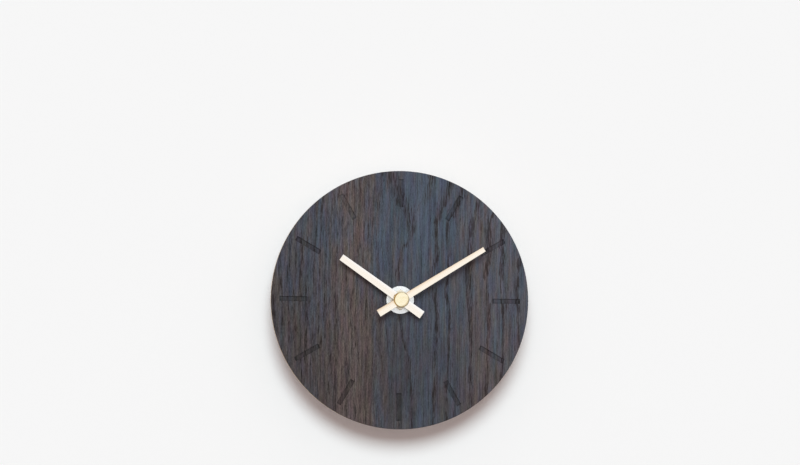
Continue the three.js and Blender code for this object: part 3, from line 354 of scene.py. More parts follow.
def lathe_marks():
    """Rings that a turning tool leaves round an axis from the dial to the wall."""
    group, given, result = new_group("lathe marks", {"Place": "Vector", "Pitch": "Float"}, {
        "Ring": "Float", "Stain": "Float"})
    spread = wire("Mapping", {"Vector": given["Place"], "Scale": (1, 0, 1)}).outputs[0]
    radius = wire("VectorMath", {0: spread}, operation="LENGTH").outputs["Value"]
    ring = wire("TexNoise", {"W": reckon("DIVIDE", radius, given["Pitch"]), "Scale": 1.0, "Detail": 2.0},
                noise_dimensions="1D").outputs["Fac"]
    feed(result, {
        "Ring": ring,
        "Stain": mottle(given["Place"], 420.0, 4.0),
    })
    return group


lathe_group = lathe_marks()


def turned_metal(name, fresh, dulled, gloss, metallic=1.0):
    finish, shader, place = new_finish(name)
    marks = wire("Group", {"Place": place, "Pitch": lathe_pitch}, node_tree=lathe_group).outputs
    stain = between(marks["Stain"], 0.35, 0.75)
    feed(shader, {
        "Base Color": tint(stain, fresh, dulled),
        "Roughness": between(reckon("ADD", times(marks["Ring"], 0.6), times(stain, 0.4)),
                             0.1, 0.9, gloss - 0.05, gloss + 0.07),
        "Metallic": metallic,
    })
    roughen(shader, marks["Ring"], 0.004 * mm, 0.5)
    return finish, shader, place


thread_brass, shader, place = turned_metal(
    "threaded_brass", (0.80, 0.58, 0.26, 1), (0.66, 0.44, 0.19, 1), 0.24)
thread = wire("TexWave", {"Vector": place, "Scale": 1 / thread_pitch / wave_bands, "Detail": 0.0},
              wave_type="BANDS", bands_direction="Y").outputs["Fac"]
roughen(shader, thread, 0.15 * mm)


def dress(finish, *nodes):
    for name in nodes:
        frame["nodes"][name].material_slots[0].material = finish


dress(thread_brass, "stem_bush", "minute_arbor")

# Stepping motor: two stamped stator plates, a core through a white bobbin, some thousand turns of
# enamelled copper wire on it, and a round sintered magnet on the rotor. Two pins of the case hold the
# plates and the core.
wire_thickness = 0.14 * mm


def stretch(place, x, y, z):
    """The place measured in steps of x, y and z millimetres."""
    return wire("Mapping", {"Vector": place, "Scale": (1 / x / mm, 1 / y / mm, 1 / z / mm)}).outputs[0]


def stamped_sheet(name, bright, dulled, gloss):
    finish, shader, place = new_finish(name)
    rolled = mottle(stretch(place, 0.12, 0.12, 4.0), 1.0, 3.0)
    clouds = mottle(place, 500.0, 3.0)
    feed(shader, {
        "Base Color": tint(between(clouds, 0.3, 0.7), bright, dulled),
        "Roughness": between(rolled, 0.25, 0.75, gloss - 0.08, gloss + 0.1),
        "Metallic": 1.0,
    })
    roughen(shader, rolled, 0.004 * mm, 0.5)
    return finish


sheet_steel = stamped_sheet("sheet_steel", (0.62, 0.63, 0.64, 1), (0.46, 0.46, 0.47, 1), 0.34)
dress(sheet_steel, "stator_upper", "stator_lower", "coil_core")
white_acetal = moulded_plastic("white_acetal", colour(222, 219, 208), colour(234, 232, 224),
                               colour(240, 239, 234), 0.38, 5000.0)
dress(white_acetal, "coil_bobbin")

copper_wire, shader, place = new_finish("copper_wire")
# the dark colour between the turns is painted shade in the grooves between the wires
turns = wire("TexWave", {
    "Vector": place, "Scale": 1 / wire_thickness / wave_bands, "Distortion": 0.6, "Detail": 1.0,
    "Detail Scale": 0.3}, wave_type="BANDS", bands_direction="Z").outputs["Fac"]
layers = mottle(stretch(place, 3.0, 3.0, 0.6), 1.0, 2.0)
feed(shader, {
    "Base Color": tint(turns, (0.23, 0.05, 0.015, 1),
                       tint(layers, (0.66, 0.22, 0.07, 1), (0.78, 0.32, 0.12, 1))),
    "Roughness": between(layers, 0.2, 0.8, 0.24, 0.36),
    "Metallic": 0.85,
    "Coat Weight": 0.4,
})
roughen(shader, turns, 0.05 * mm)
dress(copper_wire, "coil_winding")

magnet_grey, shader, place = new_finish("sintered_magnet")
grit = mottle(place, 9000.0, 3.0)
feed(shader, {
    "Base Color": tint(grit, (0.035, 0.034, 0.036, 1), (0.11, 0.108, 0.11, 1)),
    "Roughness": between(grit, 0.2, 0.8, 0.5, 0.68),
    "Metallic": 0.3,
})
roughen(shader, grit, 0.02 * mm)
dress(magnet_grey, "rotor_magnet")

# Circuit: a small glass-fibre board under green lacquer with tinned copper tracks, a chip under a
# drop of black resin, and the quartz crystal in a drawn steel can. It is pinned to two posts.
green_lacquer, shader, place = new_finish("green_lacquer")
tracks = wire("TexBrick", {
    "Vector": wire("Mapping", {"Vector": place, "Rotation": (math.radians(90), 0, 0)}).outputs[0],
    "Scale": 1.0, "Mortar Size": 0.22 * mm, "Mortar Smooth": 0.2, "Brick Width": 5.2 * mm,
    "Row Height": 1.7 * mm}).outputs["Fac"]
fibre = mottle(stretch(place, 0.3, 0.3, 0.3), 1.0, 2.0)
mask = tint(fibre, (0.008, 0.075, 0.026, 1), (0.014, 0.11, 0.042, 1))
feed(shader, {
    "Base Color": tint(times(tracks, 0.8), mask, (0.045, 0.22, 0.075, 1)),
    "Roughness": between(fibre, 0.2, 0.8, 0.28, 0.42),
    "Coat Weight": 0.3,
})
roughen(shader, tracks, 0.03 * mm)
dress(green_lacquer, "circuit_board")
black_resin = moulded_plastic("black_resin", colour(14, 14, 15), colour(22, 22, 23),
                              colour(40, 40, 41), 0.3, 2500.0)
dress(black_resin, "chip")
drawn_can = stamped_sheet("drawn_can", (0.78, 0.78, 0.77, 1), (0.6, 0.6, 0.6, 1), 0.24)
dress(drawn_can, "quartz_crystal")

# Contacts: nickel-plated spring strip, one flat behind the cell's nub and one bowed against its flat
# end. Their tails slide into notches of the partition and press on the circuit.
plated_strip = stamped_sheet("plated_strip", (0.74, 0.73, 0.70, 1), (0.58, 0.57, 0.54, 1), 0.28)
dress(plated_strip, "positive_contact", "negative_contact")

# Wheels: injection-moulded in white acetal with their pinions in one piece, and run dry in the posts.
# A three-armed leaf of hard brass gives the centre wheel its slip, so that the hands can be set.
dress(white_acetal, "rotor_pinion", "intermediate_wheel", "second_wheel", "third_wheel",
      "centre_wheel", "minute_wheel", "hour_wheel", "set_arbor")
spring_brass = stamped_sheet("spring_brass", (0.78, 0.55, 0.24, 1), (0.6, 0.4, 0.16, 1), 0.3)
dress(spring_brass, "friction_spring")

# Rear cover: the lid of the chamber, moulded with the case's plastic and held by four snap tabs. It
# carries the rear bearings of the wheels and a round well that the setting knob sits in.
cover_low, cover_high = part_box("rear_cover")
cover_front = cover_high.y - case_wall
well_radius = 4.5 * mm
well_floor = -3.1 * mm
tab_outer = inner_half - 0.2 * mm
tab_half, tab_thickness = 2 * mm, 1 * mm
tab_tip, barb_rear = -5.8 * mm, -4.4 * mm
barb_height, barb_tip_share = 0.7 * mm, 0.15
arbor_hole = 1.4 * mm
bearing_radius, bearing_depth = 0.72, 1.4
set_x, set_z = (part * mm for part in axes["setting_works"])


def pick_faces(piece, test):
    """Selects in edit mode the faces whose middle and normal pass a test."""
    for face in open_mesh(piece, "FACE").faces:
        face.select_set(test(face.calc_center_median(), face.normal))
    bmesh.update_edit_mesh(piece.data)


def copy_of(piece):
    twin = piece.copy()
    twin.data = piece.data.copy()
    bpy.context.collection.objects.link(twin)
    return twin


cover = add_block("movement_cover", (cover_low.x, cover_front, cover_low.z), cover_high)
bevel_edges(cover, lambda a, b: abs(a.y - b.y) > hair and a.z > 0, case_corner, 8)
combine(cover, add_drum("well", well_radius + case_wall, well_floor - case_wall, -overlap, 64,
                        set_x, set_z), "UNION")
combine(cover, add_drum("well_cut", well_radius, well_floor, past, 64, set_x, set_z))
combine(cover, add_drum("arbor_cut", arbor_hole, well_floor - past, past, 24, set_x, set_z))
soften(cover, 0.2 * mm)
# bosses, in millimetres: place and how far their tips stand from the wall
for (x, z), tip in ((axes["second"], 6.4), (axes["third"], 6.4), (axes["intermediate"], 4.85),
                    (axes["rotor"], 2.8)):
    combine(cover, add_drum("boss", post_radius * mm, -tip * mm, cover_front + overlap, 20,
                            x * mm, z * mm), "UNION")
    combine(cover, add_drum("bearing", bearing_radius * mm, -(tip + 1) * mm, (bearing_depth - tip) * mm,
                            16, x * mm, z * mm))
tab = add_block("tab", (tab_outer - tab_thickness, tab_tip, -tab_half),
                (tab_outer, cover_front + overlap, tab_half))
barb = add_block("barb", (tab_outer - overlap, tab_tip, -tab_half),
                 (tab_outer + barb_height, barb_rear, tab_half))
pick_faces(barb, lambda middle, normal: normal.y < -0.9)
bpy.ops.transform.resize(value=(barb_tip_share, 1, 1), center_override=(tab_outer - overlap, 0, 0))
leave_mesh()
combine(tab, barb, "UNION")
for wall, along in snap_places:
    copied = copy_of(tab)
    copied.location.z = along
    work_on(copied)
    bpy.ops.object.transform_apply(location=True, rotation=False, scale=False)
    combine(cover, turn_about_axis(copied, -wall), "UNION")
bpy.data.meshes.remove(tab.data)
smooth(cover)
fit(cover, black_moulding, "clock_body", "rear_cover")

# Hanger: a half-round lug of the same plastic above the case, with a slot that narrows upwards to a
# round seat for the nail. Its tongue drops into a gap of the case's top wall, behind the cover's rim.
hanger_low, hanger_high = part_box("hanger")
hanger_gap = 0.1 * mm
hanger_base = case_high.z + hanger_gap
tongue_half, foot_half = 6.5 * mm, 9 * mm
tongue_rear = cover_seat - hanger_gap
foot_top = inner_half - hanger_gap
slot_foot = hanger_base + 2.4 * mm
slot_half = 6 * mm
nail_seat = 2.5 * mm
seat_height = slot_foot + 6.6 * mm - nail_seat

lug = add_drum("hanging_lug", hanger_high.x, hanger_low.y, hanger_high.y, 96, z=hanger_base)
pick_faces(lug, lambda middle, normal: True)
bpy.ops.mesh.bisect(plane_co=(0, 0, hanger_base), plane_no=(0, 0, 1), use_fill=True, clear_inner=True)
leave_mesh()
slot = add_block("slot_cut", (-slot_half, hanger_low.y - past, slot_foot), (slot_half, past, seat_height))
pick_faces(slot, lambda middle, normal: normal.z > 0.9)
bpy.ops.transform.resize(value=(nail_seat / slot_half, 1, 1), center_override=(0, 0, seat_height))
leave_mesh()
combine(lug, slot)
combine(lug, add_drum("seat_cut", nail_seat, hanger_low.y - past, past, 48, z=seat_height))
combine(lug, add_block("tongue", (-tongue_half, hanger_low.y, foot_top - overlap),
                       (tongue_half, tongue_rear, hanger_base + overlap)), "UNION")
combine(lug, add_block("foot", (-foot_half, hanger_low.y, hanger_low.z),
                       (foot_half, tongue_rear, foot_top)), "UNION")
soften(lug, 0.22 * mm)
fit(lug, black_moulding, "clock_body", "hanger")

# Setting knob: a small fluted knob in the cover's well, moulded in the same black and pressed on the
# end of the setting arbor. Turning it moves both hands through the motion work.
knob_low, knob_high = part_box("set_knob")
knob_radius = 4.2 * mm
flute_count = 10
flute_radius = 0.5 * mm
knob_edge = 0.5 * mm
dish_radius, dish_depth = 2.6 * mm, 0.35 * mm
socket_radius, knob_head = 1.3 * mm, 1.3 * mm

knob = add_drum("setting_knob", knob_radius, knob_low.y, knob_high.y, 80, set_x, set_z)
bevel_edges(knob, lambda a, b: min(a.y, b.y) > knob_high.y - hair, knob_edge, 4)
for flute in range(flute_count):
    turn = 2 * math.pi * flute / flute_count
    combine(knob, add_drum("flute", flute_radius, knob_low.y - past, past, 24,
                           set_x + knob_radius * math.cos(turn), set_z + knob_radius * math.sin(turn)))
combine(knob, add_drum("dish", dish_radius, knob_high.y - dish_depth, past, 64, set_x, set_z))
combine(knob, add_drum("arbor_cut", socket_radius, knob_low.y - past, knob_high.y - knob_head, 24,
                       set_x, set_z))
soften(knob, 0.1 * mm)
fit(knob, black_moulding, "setting_works", "set_knob")

# Rubber gasket: a flat black ring stamped from sheet rubber, squeezed between the case and the back
# of the board so that the movement cannot turn.
gasket_low, gasket_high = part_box("rubber_gasket")
ring_bore = 4.05 * mm


def add_ring(name, outer, inner, front, back, sides=96):
    """A flat ring: both ends of a drum are inset to the bore, and the two insets are bridged."""
    ring = add_drum(name, outer, front, back, sides)
    pick_faces(ring, lambda middle, normal: abs(normal.y) > 0.9)
    bpy.ops.mesh.inset(thickness=outer - inner)
    bpy.ops.mesh.bridge_edge_loops()
    leave_mesh()
    return ring


gasket = add_ring("gasket_ring", gasket_high.x, ring_bore, gasket_low.y, gasket_high.y)
soften(gasket, 0.15 * mm)
sheet_rubber, shader, place = new_finish("sheet_rubber")
skin = wire("Group", {"Place": place, "Grain": 4000.0}, node_tree=skin_group).outputs
feed(shader, {
    "Base Color": tint(skin["Cloud"], (0.008, 0.008, 0.008, 1), (0.02, 0.02, 0.02, 1)),
    "Roughness": between(skin["Cloud"], 0.2, 0.8, 0.72, 0.9),
})
roughen(shader, skin["Height"], 0.03 * mm)
fit(gasket, sheet_rubber, "clock_body", "rubber_gasket")

# Dial board: round plywood, faced with open-grained oak that is stained near black with a trace of
# blue. Twelve bars are engraved into the face for the hours. The edge and the back are left pale.
board_low, board_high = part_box("dial_board")
board_radius = board_high.x
board_front, board_back = board_low.y, board_high.y
board_sides = 256
rim_round = 0.5 * mm
mark_count = 12
mark_length = 21.5 * mm
mark_half = 1.87 * mm
mark_corner = 0.35 * mm
mark_end = board_radius - 6.5 * mm
mark_floor = board_front + 0.65 * mm

board = add_drum("dial_face", board_radius, board_front, board_back, board_sides)
bevel_edges(board, lambda a, b: abs(a.y - b.y) < hair, rim_round, 3)
combine(board, add_drum("stem_cut", stem_hole, board_front - past, board_back + past, 64))
mark = add_block("mark_cut", (-mark_half, board_front - past, mark_end - mark_length),
                 (mark_half, mark_floor, mark_end))
bevel_edges(mark, lambda a, b: abs(a.y - b.y) > hair, mark_corner, 3)
for hour in range(mark_count):
    combine(board, turn_about_axis(copy_of(mark), 360 / mark_count * hour))
bpy.data.meshes.remove(mark.data)
smooth(board, 40)


def follow(value, points, low, high):
    """A curve through (value, result) points; value is kept between the first and the last."""
    first, last = points[0][0], points[-1][0]
    share = wire("MapRange", {0: value, 1: first, 2: last}).outputs[0]
    node = wire("FloatCurve", {"Value": share})
    line = node.mapping.curves[0].points
    while len(line) < len(points):
        line.new(0.5, 0.5)
    for point, (at, result) in zip(line, points):
        point.location = ((at - first) / (last - first), (result - low) / (high - low))
    node.mapping.update()
    return wire("MapRange", {0: node.outputs[0], 3: low, 4: high}).outputs[0]


def oak_figure():
    """Flat-sawn oak with its grain straight up the board. The rings are fine at the left, bold and
    wavy at the right, with a flame between them, and each is a row of short open pores."""
    group, given, result = new_group("oak figure", {"Place": "Vector"}, {
        "Early": "Float", "Pores": "Float", "Fibre": "Float", "Streak": "Float", "Hue": "Float",
        "Tinge": "Float"})
    place = given["Place"]
    spot = wire("SeparateXYZ", {0: stretch(place, 1, 1, 1)}).outputs
    x, z = spot["X"], spot["Z"]

    def noise(width, length, detail=2.0, ahead=0.0):
        """A value round nothing that changes over a width across and a length along the grain."""
        moved = wire("Mapping", {"Vector": place, "Location": (0, ahead, 0), "Scale": (
            1 / width / mm, 1 / width / mm, 1 / length / mm)}).outputs[0]
        return reckon("SUBTRACT", mottle(moved, 1.0, detail), 0.5)

    wander = noise(30.0, 50.0, 2.0, 5.0)
    ragged = times(noise(1.3, 14.0, 2.0, 3.0), between(z, -20.0, 45.0, 4.5, 8.0))
    sway = follow(z, (
        (-100, -1), (-70, -0.6), (-45, 1), (-17, 1.4), (18, -1.2), (35, 0), (55, 0), (67, 3), (80, 8),
        (100, 12)), -15.0, 15.0)
    sway = times(sway, between(x, -20.0, 38.0, 0.1, 1.0))
    bent_x = reckon("MULTIPLY_ADD", wander, between(x, -60.0, 10.0, 2.0, 8.0),
                    reckon("SUBTRACT", x, sway))

    # fine rings, five millimetres apart and boldest at the left rim, then three and a half
    fine_count = follow(bent_x, ((-110, 0), (-55, 11), (115, 60)), 0.0, 60.0)
    fine = reckon("FRACT", reckon("MULTIPLY_ADD", noise(5.0, 50.0), 2.0, fine_count))
    fine = times(between(fine, 0.0, 0.12), between(fine, 0.15, 0.7, 1.0, 0.0))
    fine = times(fine, follow(
        x, ((-100, 0.82), (-66, 0.78), (-54, 0.7), (-24, 0.7), (-8, 0.42), (100, 0.42)), 0.0, 1.0))

    # bold rings at these places across the board, and the flame that leans over the upper middle
    ring_places = (-30, -16, 0, 14, 27.5, 37.5, 54.5, 68, 79, 92, 110)
    torn_x = reckon("ADD", ragged, bent_x)
    count = follow(torn_x, [(at, ring) for ring, at in enumerate(ring_places)],
                   0.0, len(ring_places) - 1)
    off_ring = reckon("ABSOLUTE", reckon("SUBTRACT", reckon("FRACT", reckon("ADD", count, 0.5)), 0.5))
    width = times(between(noise(9.0, 26.0, 2.0, 9.0), -0.25, 0.3, 0.04, 0.24),
                  between(z, 0.0, 60.0, 1.0, 1.5))
    bold = times(between(x, 14.0, 24.0), between(reckon("DIVIDE", off_ring, width), 0.3, 1.3, 1.0, 0.0))
    flame_x = follow(z, (
        (-100, 10), (-71, 9.5), (-51, 7.5), (-33, 3), (-14, -1), (10, -2.4), (37, 0), (55, 8), (66, 5),
        (80, -4), (100, -14)), -15.0, 15.0)
    off_flame = reckon("ABSOLUTE", reckon("SUBTRACT", torn_x, flame_x))
    flame_width = reckon("ADD", between(z, 35.0, 70.0, 1.3, 7.5),
                         times(noise(6.0, 18.0, 2.0, 12.0), 3.0))
    flame = between(reckon("DIVIDE", off_flame, flame_width), 0.2, 1.2, 0.85, 0.0)
    early = reckon("MAXIMUM", fine, reckon("MAXIMUM", bold, flame))

    # pores lie along the grain, crowded in the early wood of each ring, among long and short fibres
    pores = reckon("SUBTRACT", noise(0.52, 6.5, 2.0, 21.0), reckon("MULTIPLY_ADD", early, -0.27, 0.185))
    fibre = times(noise(0.5, 1.6, 2.0, 43.0), 0.6)
    fibre = reckon("MULTIPLY_ADD", noise(0.6, 6.0, 4.0, 37.0),
                   between(x, -30.0, 20.0, 0.85, 0.65), fibre)
    fibre = reckon("MULTIPLY_ADD", noise(0.5, 40.0, 2.0, 31.0),
                   between(x, -30.0, 20.0, 0.65, 0.95), fibre)
    fibre_strength = times(between(x, -25.0, 5.0, 1.12, 0.8), between(z, -50.0, 30.0, 1.18, 1.0))
    feed(result, {
        "Early": early,
        "Pores": between(pores, 0.0, 0.12),
        "Fibre": times(fibre_strength, fibre),
        "Streak": noise(3.0, 45.0, 2.0, 41.0),
        "Hue": reckon("MULTIPLY_ADD", noise(3.0, 22.0, 2.0, 57.0), 0.56,
                      times(noise(5.5, 35.0, 2.0, 51.0), 0.8)),
        "Tinge": noise(4.0, 20.0, 4.0, 61.0),
    })
    return group


oak_group = oak_figure()

stained_oak, shader, place = new_finish("stained_oak")
figure = wire("Group", {"Place": place}, node_tree=oak_group).outputs
spot = wire("SeparateXYZ", {0: stretch(place, 1, 1, 1)}).outputs
# how blue the stain is across the board and how dark the board is, darkest at the left rim; it is bluer
# and paler towards the top and browner and darker towards the bottom, which is painted light and shade,
# and darker in a patch below the middle
lean = follow(spot["X"], (
    (-100, 0.46), (-75, 0.5), (-50, 0.4), (-40, 0.2), (-24, 0.25), (-17, 0.6), (-3, 0.58), (10, 0.76),
    (32, 0.72), (55, 0.52), (65, 0.42), (73, 0.56), (100, 0.58)), 0.0, 1.0)
depth = follow(spot["X"], (
    (-100, 0.81), (-70, 0.84), (-52, 0.94), (-43, 1.12), (-18, 0.94), (0, 0.95), (14, 1.03), (40, 1.0),
    (62, 1.1), (100, 1.08)), 0.5, 1.5)
# painted light and shade: paler towards the top and darker towards the bottom
depth = times(depth, between(spot["Z"], -80.0, 75.0, 0.86, 1.07))
off_dusk = wire("VectorMath", {0: stretch(place, 42, 1e6, 52), 1: (0.3, 0, -1.15)},
                operation="DISTANCE").outputs["Value"]
depth = times(depth, between(off_dusk, 0.3, 1.1, 0.84, 1.0))
# painted light and shade in the hue: the stain leans bluer towards the top and browner towards the bottom
blue_share = reckon("MULTIPLY_ADD", figure["Hue"], between(spot["Z"], -60.0, 50.0, 1.05, 1.4),
                    reckon("ADD", lean, between(spot["Z"], -70.0, 70.0, -0.12, 0.11)))
ground = tint(between(blue_share, 0.0, 1.0), colour(84, 74, 71), colour(68, 78, 91))
stain = tint(times(figure["Early"], 0.35), ground, colour(64, 52, 49))
stain = tint(times(figure["Pores"], 0.75), stain, colour(37, 31, 31))
# the cutter's heat darkens each engraved bar in patches; along its sides and ends this is partly painted
# shade
engraved = between(spot["Y"], board_front / mm + 0.05, board_front / mm + 0.4)
from_axis = reckon("SQRT", reckon("ADD", times(spot["X"], spot["X"]), times(spot["Z"], spot["Z"])))
mark_middle = (mark_end - mark_length / 2) / mm
off_middle = reckon("ABSOLUTE", reckon("SUBTRACT", from_axis, mark_middle))
bar_angle = reckon("PINGPONG", reckon("ARCTAN2", spot["X"], spot["Z"]), math.pi / mark_count)
off_line = times(from_axis, reckon("SINE", bar_angle))
half_length, half_width = mark_length / 2 / mm, mark_half / mm
# scorch mixed with painted shade of the bar's walls, along its sides and at its ends
burn_and_shade = reckon("MAXIMUM",
               between(off_middle, half_length - 1.8, half_length - 0.4, 0.36, 0.57),
               between(off_line, half_width - 0.9, half_width - 0.2, 0.36, 0.47))
patchy = mottle(stretch(place, 2.2, 2.2, 3.5), 1.0, 2.0)
burn_and_shade = times(burn_and_shade, between(patchy, 0.25, 0.75, 0.75, 1.3))
burn_and_shade = times(burn_and_shade, between(spot["Z"], 45.0, 85.0, 1.0, 0.48))
shade = reckon("ADD", reckon("MULTIPLY_ADD", figure["Fibre"], 1.88, 0.995), figure["Streak"])
shade = times(times(shade, depth), reckon("SUBTRACT", 1.0, times(engraved, burn_and_shade)))
green_shade = times(shade, reckon("MULTIPLY_ADD", figure["Tinge"], 0.5, 0.99))
feed(shader, {
    "Base Color": tint(1.0, stain, wire("CombineColor", {
        0: shade, 1: green_shade, 2: shade}).outputs[0], "MULTIPLY"),
    "Roughness": between(reckon("ADD", figure["Fibre"], figure["Pores"]), -0.2, 0.8, 0.5, 0.75),
    "Specular IOR Level": 0.2,
})
dip = reckon("MAXIMUM", figure["Pores"], times(figure["Early"], 0.3))
relief = reckon("MULTIPLY_ADD", figure["Fibre"], 0.3, times(dip, -1.0))
roughen(shader, relief, 0.06 * mm, 0.6)

# the back is another leaf of the oak, so its figure is moved and turned a little
pale_back, shader, place = new_finish("pale_back")
turned_place = wire("Mapping", {"Vector": place, "Location": (0.031, 0, 0.04),
                                "Rotation": (0, math.radians(3), 0)}).outputs[0]
figure = wire("Group", {"Place": turned_place}, node_tree=oak_group).outputs
grain = tint(between(figure["Hue"], -0.4, 0.4), colour(205, 178, 140), colour(222, 199, 164))
grain = tint(times(figure["Early"], 0.35), grain, colour(178, 146, 106))
grain = tint(times(figure["Pores"], 0.3), grain, colour(140, 108, 74))
grain = tint(between(figure["Fibre"], -0.4, 0.4, 0.0, 0.4), grain, colour(234, 214, 184))
# the wall lets the light behind it through, so the back throws little on the wall
thrown = source(pale_back.node_tree, "LightPath")["Is Diffuse Ray"]
feed(shader, {
    "Base Color": tint(thrown, grain, (0.24, 0.195, 0.185, 1)),
    "Roughness": between(figure["Fibre"], -0.3, 0.3, 0.62, 0.78),
    "Specular IOR Level": 0.3,
})
roughen(shader, figure["Fibre"], 0.04 * mm, 0.6)

plywood_edge, shader, place = new_finish("plywood_edge")
depth = wire("SeparateXYZ", {0: place}).outputs["Y"]
level = wire("MapRange", {0: depth, 1: board_front, 2: board_back}).outputs[0]
plies = wire("ValToRGB", {0: level})
# part of the pale plies' lightness is painted light, standing in for light that the wall bounces onto the
# edge
ply_tones = ((0.0, (60, 57, 58)), (0.05, (60, 57, 58)), (0.08, (232, 216, 194)), (0.3, (236, 220, 198)),
             (0.32, (172, 142, 110)), (0.34, (214, 190, 160)), (0.49, (216, 192, 162)),
             (0.51, (172, 142, 110)), (0.53, (238, 222, 200)), (0.7, (234, 218, 196)),
             (0.72, (172, 142, 110)), (0.74, (214, 190, 160)), (0.93, (230, 210, 184)),
             (1.0, (234, 216, 192)))
ramp = plies.color_ramp
while len(ramp.elements) < len(ply_tones):
    ramp.elements.new(0.5)
for stop, (at, tone) in zip(ramp.elements, ply_tones):
    stop.position = at
    stop.color = colour(*tone)
fuzz = mottle(stretch(place, 1.2, 0.12, 1.2), 1.0, 4.0)
ends = mottle(stretch(place, 0.25, 0.25, 0.25), 1.0, 3.0)
feed(shader, {
    "Base Color": tint(between(reckon("ADD", fuzz, ends), 0.75, 1.25, 0.0, 0.4),
                       plies.outputs[0], colour(180, 152, 122)),
    "Roughness": between(fuzz, 0.2, 0.8, 0.7, 0.85),
    "Specular IOR Level": 0.25,
})
roughen(shader, fuzz, 0.08 * mm)

for finish in (stained_oak, plywood_edge, pale_back):
    board.data.materials.append(finish)
for face in board.data.polygons:
    from_axis = math.hypot(face.center.x, face.center.z)
    if face.normal.y > 0.9:
        face.material_index = 2
    elif face.center.y > board_front + rim_round and from_axis > board_radius - 2 * rim_round:
        face.material_index = 1
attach(board, "clock_body")
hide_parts("dial_board")

# Dial washer and hexagon nut: a satin nickel-plated disc that spreads the clamping force on the
# wood, and a thin nut of warmer, bright plating on the stem. Both show pale round the cap.
washer_low, washer_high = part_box("dial_washer")
nut_low, nut_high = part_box("hex_nut")
satin_nickel, *_ = turned_metal(
    "satin_nickel", (0.94, 0.98, 1.0, 1), (0.92, 0.97, 0.99, 1), 0.3, 0.7)

washer = add_ring("face_washer", washer_high.x, ring_bore, washer_low.y, washer_high.y, 128)
soften(washer, 0.14 * mm)
fit(washer, satin_nickel, "clock_body", "dial_washer")

bright_nickel, *_ = turned_metal(
    "bright_nickel", (0.93, 0.88, 0.76, 1), (0.88, 0.81, 0.66, 1), 0.3, 0.5)
nut_corner, nut_chamfer = nut_high.z, 0.9 * mm
nut = add_drum("clamp_nut", nut_corner, nut_low.y, nut_high.y, 6)
rounding = add_drum("rounding", nut_corner + hair, nut_low.y - hair, nut_high.y + hair, 96)
bevel_edges(rounding, lambda a, b: max(a.y, b.y) < nut_low.y, nut_chamfer, 1)
combine(nut, rounding, "INTERSECT")
combine(nut, add_drum("stem_cut", stem_hole, nut_low.y - past, nut_high.y + past, 64))
soften(nut, 0.1 * mm)
fit(nut, bright_nickel, "clock_body", "hex_nut")

# Hands: stamped from thin brass sheet with a slightly crowned face, brushed along their length and
# plated pale gold. Each is riveted to a short turned collet that presses on its pipe or arbor.


def brushed_lines():
    """Fine lines along the z axis, with a slower change of tone."""
    group, given, result = new_group("brushed lines", {"Place": "Vector"}, {
        "Line": "Float", "Tone": "Float"})
    feed(result, {
        "Line": mottle(stretch(given["Place"], 0.09, 0.09, 12.0), 1.0, 3.0),
        "Tone": mottle(stretch(given["Place"], 1.6, 1.6, 14.0), 1.0, 2.0),
    })
    return group


brush_group = brushed_lines()


def brushed_brass(name, turn, deep, light):
    finish, shader, place = new_finish(name)
    along = wire("Mapping", {"Vector": place, "Rotation": (0, -turn, 0)}).outputs[0]
    brush = wire("Group", {"Place": along}, node_tree=brush_group).outputs
    feed(shader, {
        "Base Color": tint(brush["Tone"], deep, light),
        "Roughness": between(brush["Line"], 0.2, 0.8, 0.16, 0.27),
        "Metallic": 1.0,
    })
    roughen(shader, brush["Line"], 0.003 * mm, 0.5)
    return finish


# name, body, turn from twelve, reach, tail, width at the tip, at the tail, the bore's radius,
# and the deeper and the lighter tone of its plating
hand_rows = (
    ("hour_hand", "hour_works", 304.85, 56.5, 20.2, 5.1, 6.4, 2.52,
     (0.94, 0.87, 0.77, 1), (0.965, 0.915, 0.85, 1)),
    ("minute_hand", "minute_works", 58.2, 75.6, 20.4, 3.8, 5.8, 1.52,
     (0.955, 0.865, 0.73, 1), (0.975, 0.91, 0.81, 1)),
)
crown_radius = 16 * mm
collet_wall = 1.1 * mm
eye_sink = 0.37 * mm
collet_brass, *_ = turned_metal("collet_brass", (0.86, 0.66, 0.36, 1), (0.74, 0.52, 0.26, 1), 0.22)
for name, body, degrees, reach, tail, tip_width, tail_width, bore, deep, light in hand_rows:
    low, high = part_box(name)
    front, back = low.y, high.y
    bar = add_block(name + "_bar", (-tail_width / 2 * mm, front - past, -tail * mm),
                    (tail_width / 2 * mm, back, reach * mm))
    pick_faces(bar, lambda middle, normal: normal.z > 0.9)
    bpy.ops.transform.resize(value=(tip_width / tail_width, 1, 1), center_override=(0, 0, reach * mm))
    leave_mesh()
    deselect_all()
    bpy.ops.mesh.primitive_cylinder_add(vertices=360, radius=crown_radius, depth=(reach + tail) * 3 * mm,
                                        location=(0, front + crown_radius, 0))
    combine(bar, settle("crown"), "INTERSECT")
    eye = bore * mm + collet_wall
    combine(bar, add_drum("eye", eye, front + eye_sink, back, 64), "UNION")
    combine(bar, add_drum("bore_cut", bore * mm, front - past, back + past, 48))
    soften(bar, 0.06 * mm, 2, 40)
    turn_about_axis(bar, degrees)
    fit(bar, brushed_brass("brushed_" + name, math.radians(degrees), deep, light), body, name)
    low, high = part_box(name + "_collet")
    collet = add_ring(name + "_hub", eye, bore * mm, low.y, high.y, 64)
    soften(collet, 0.1 * mm)
    fit(collet, collet_brass, body, name + "_collet")

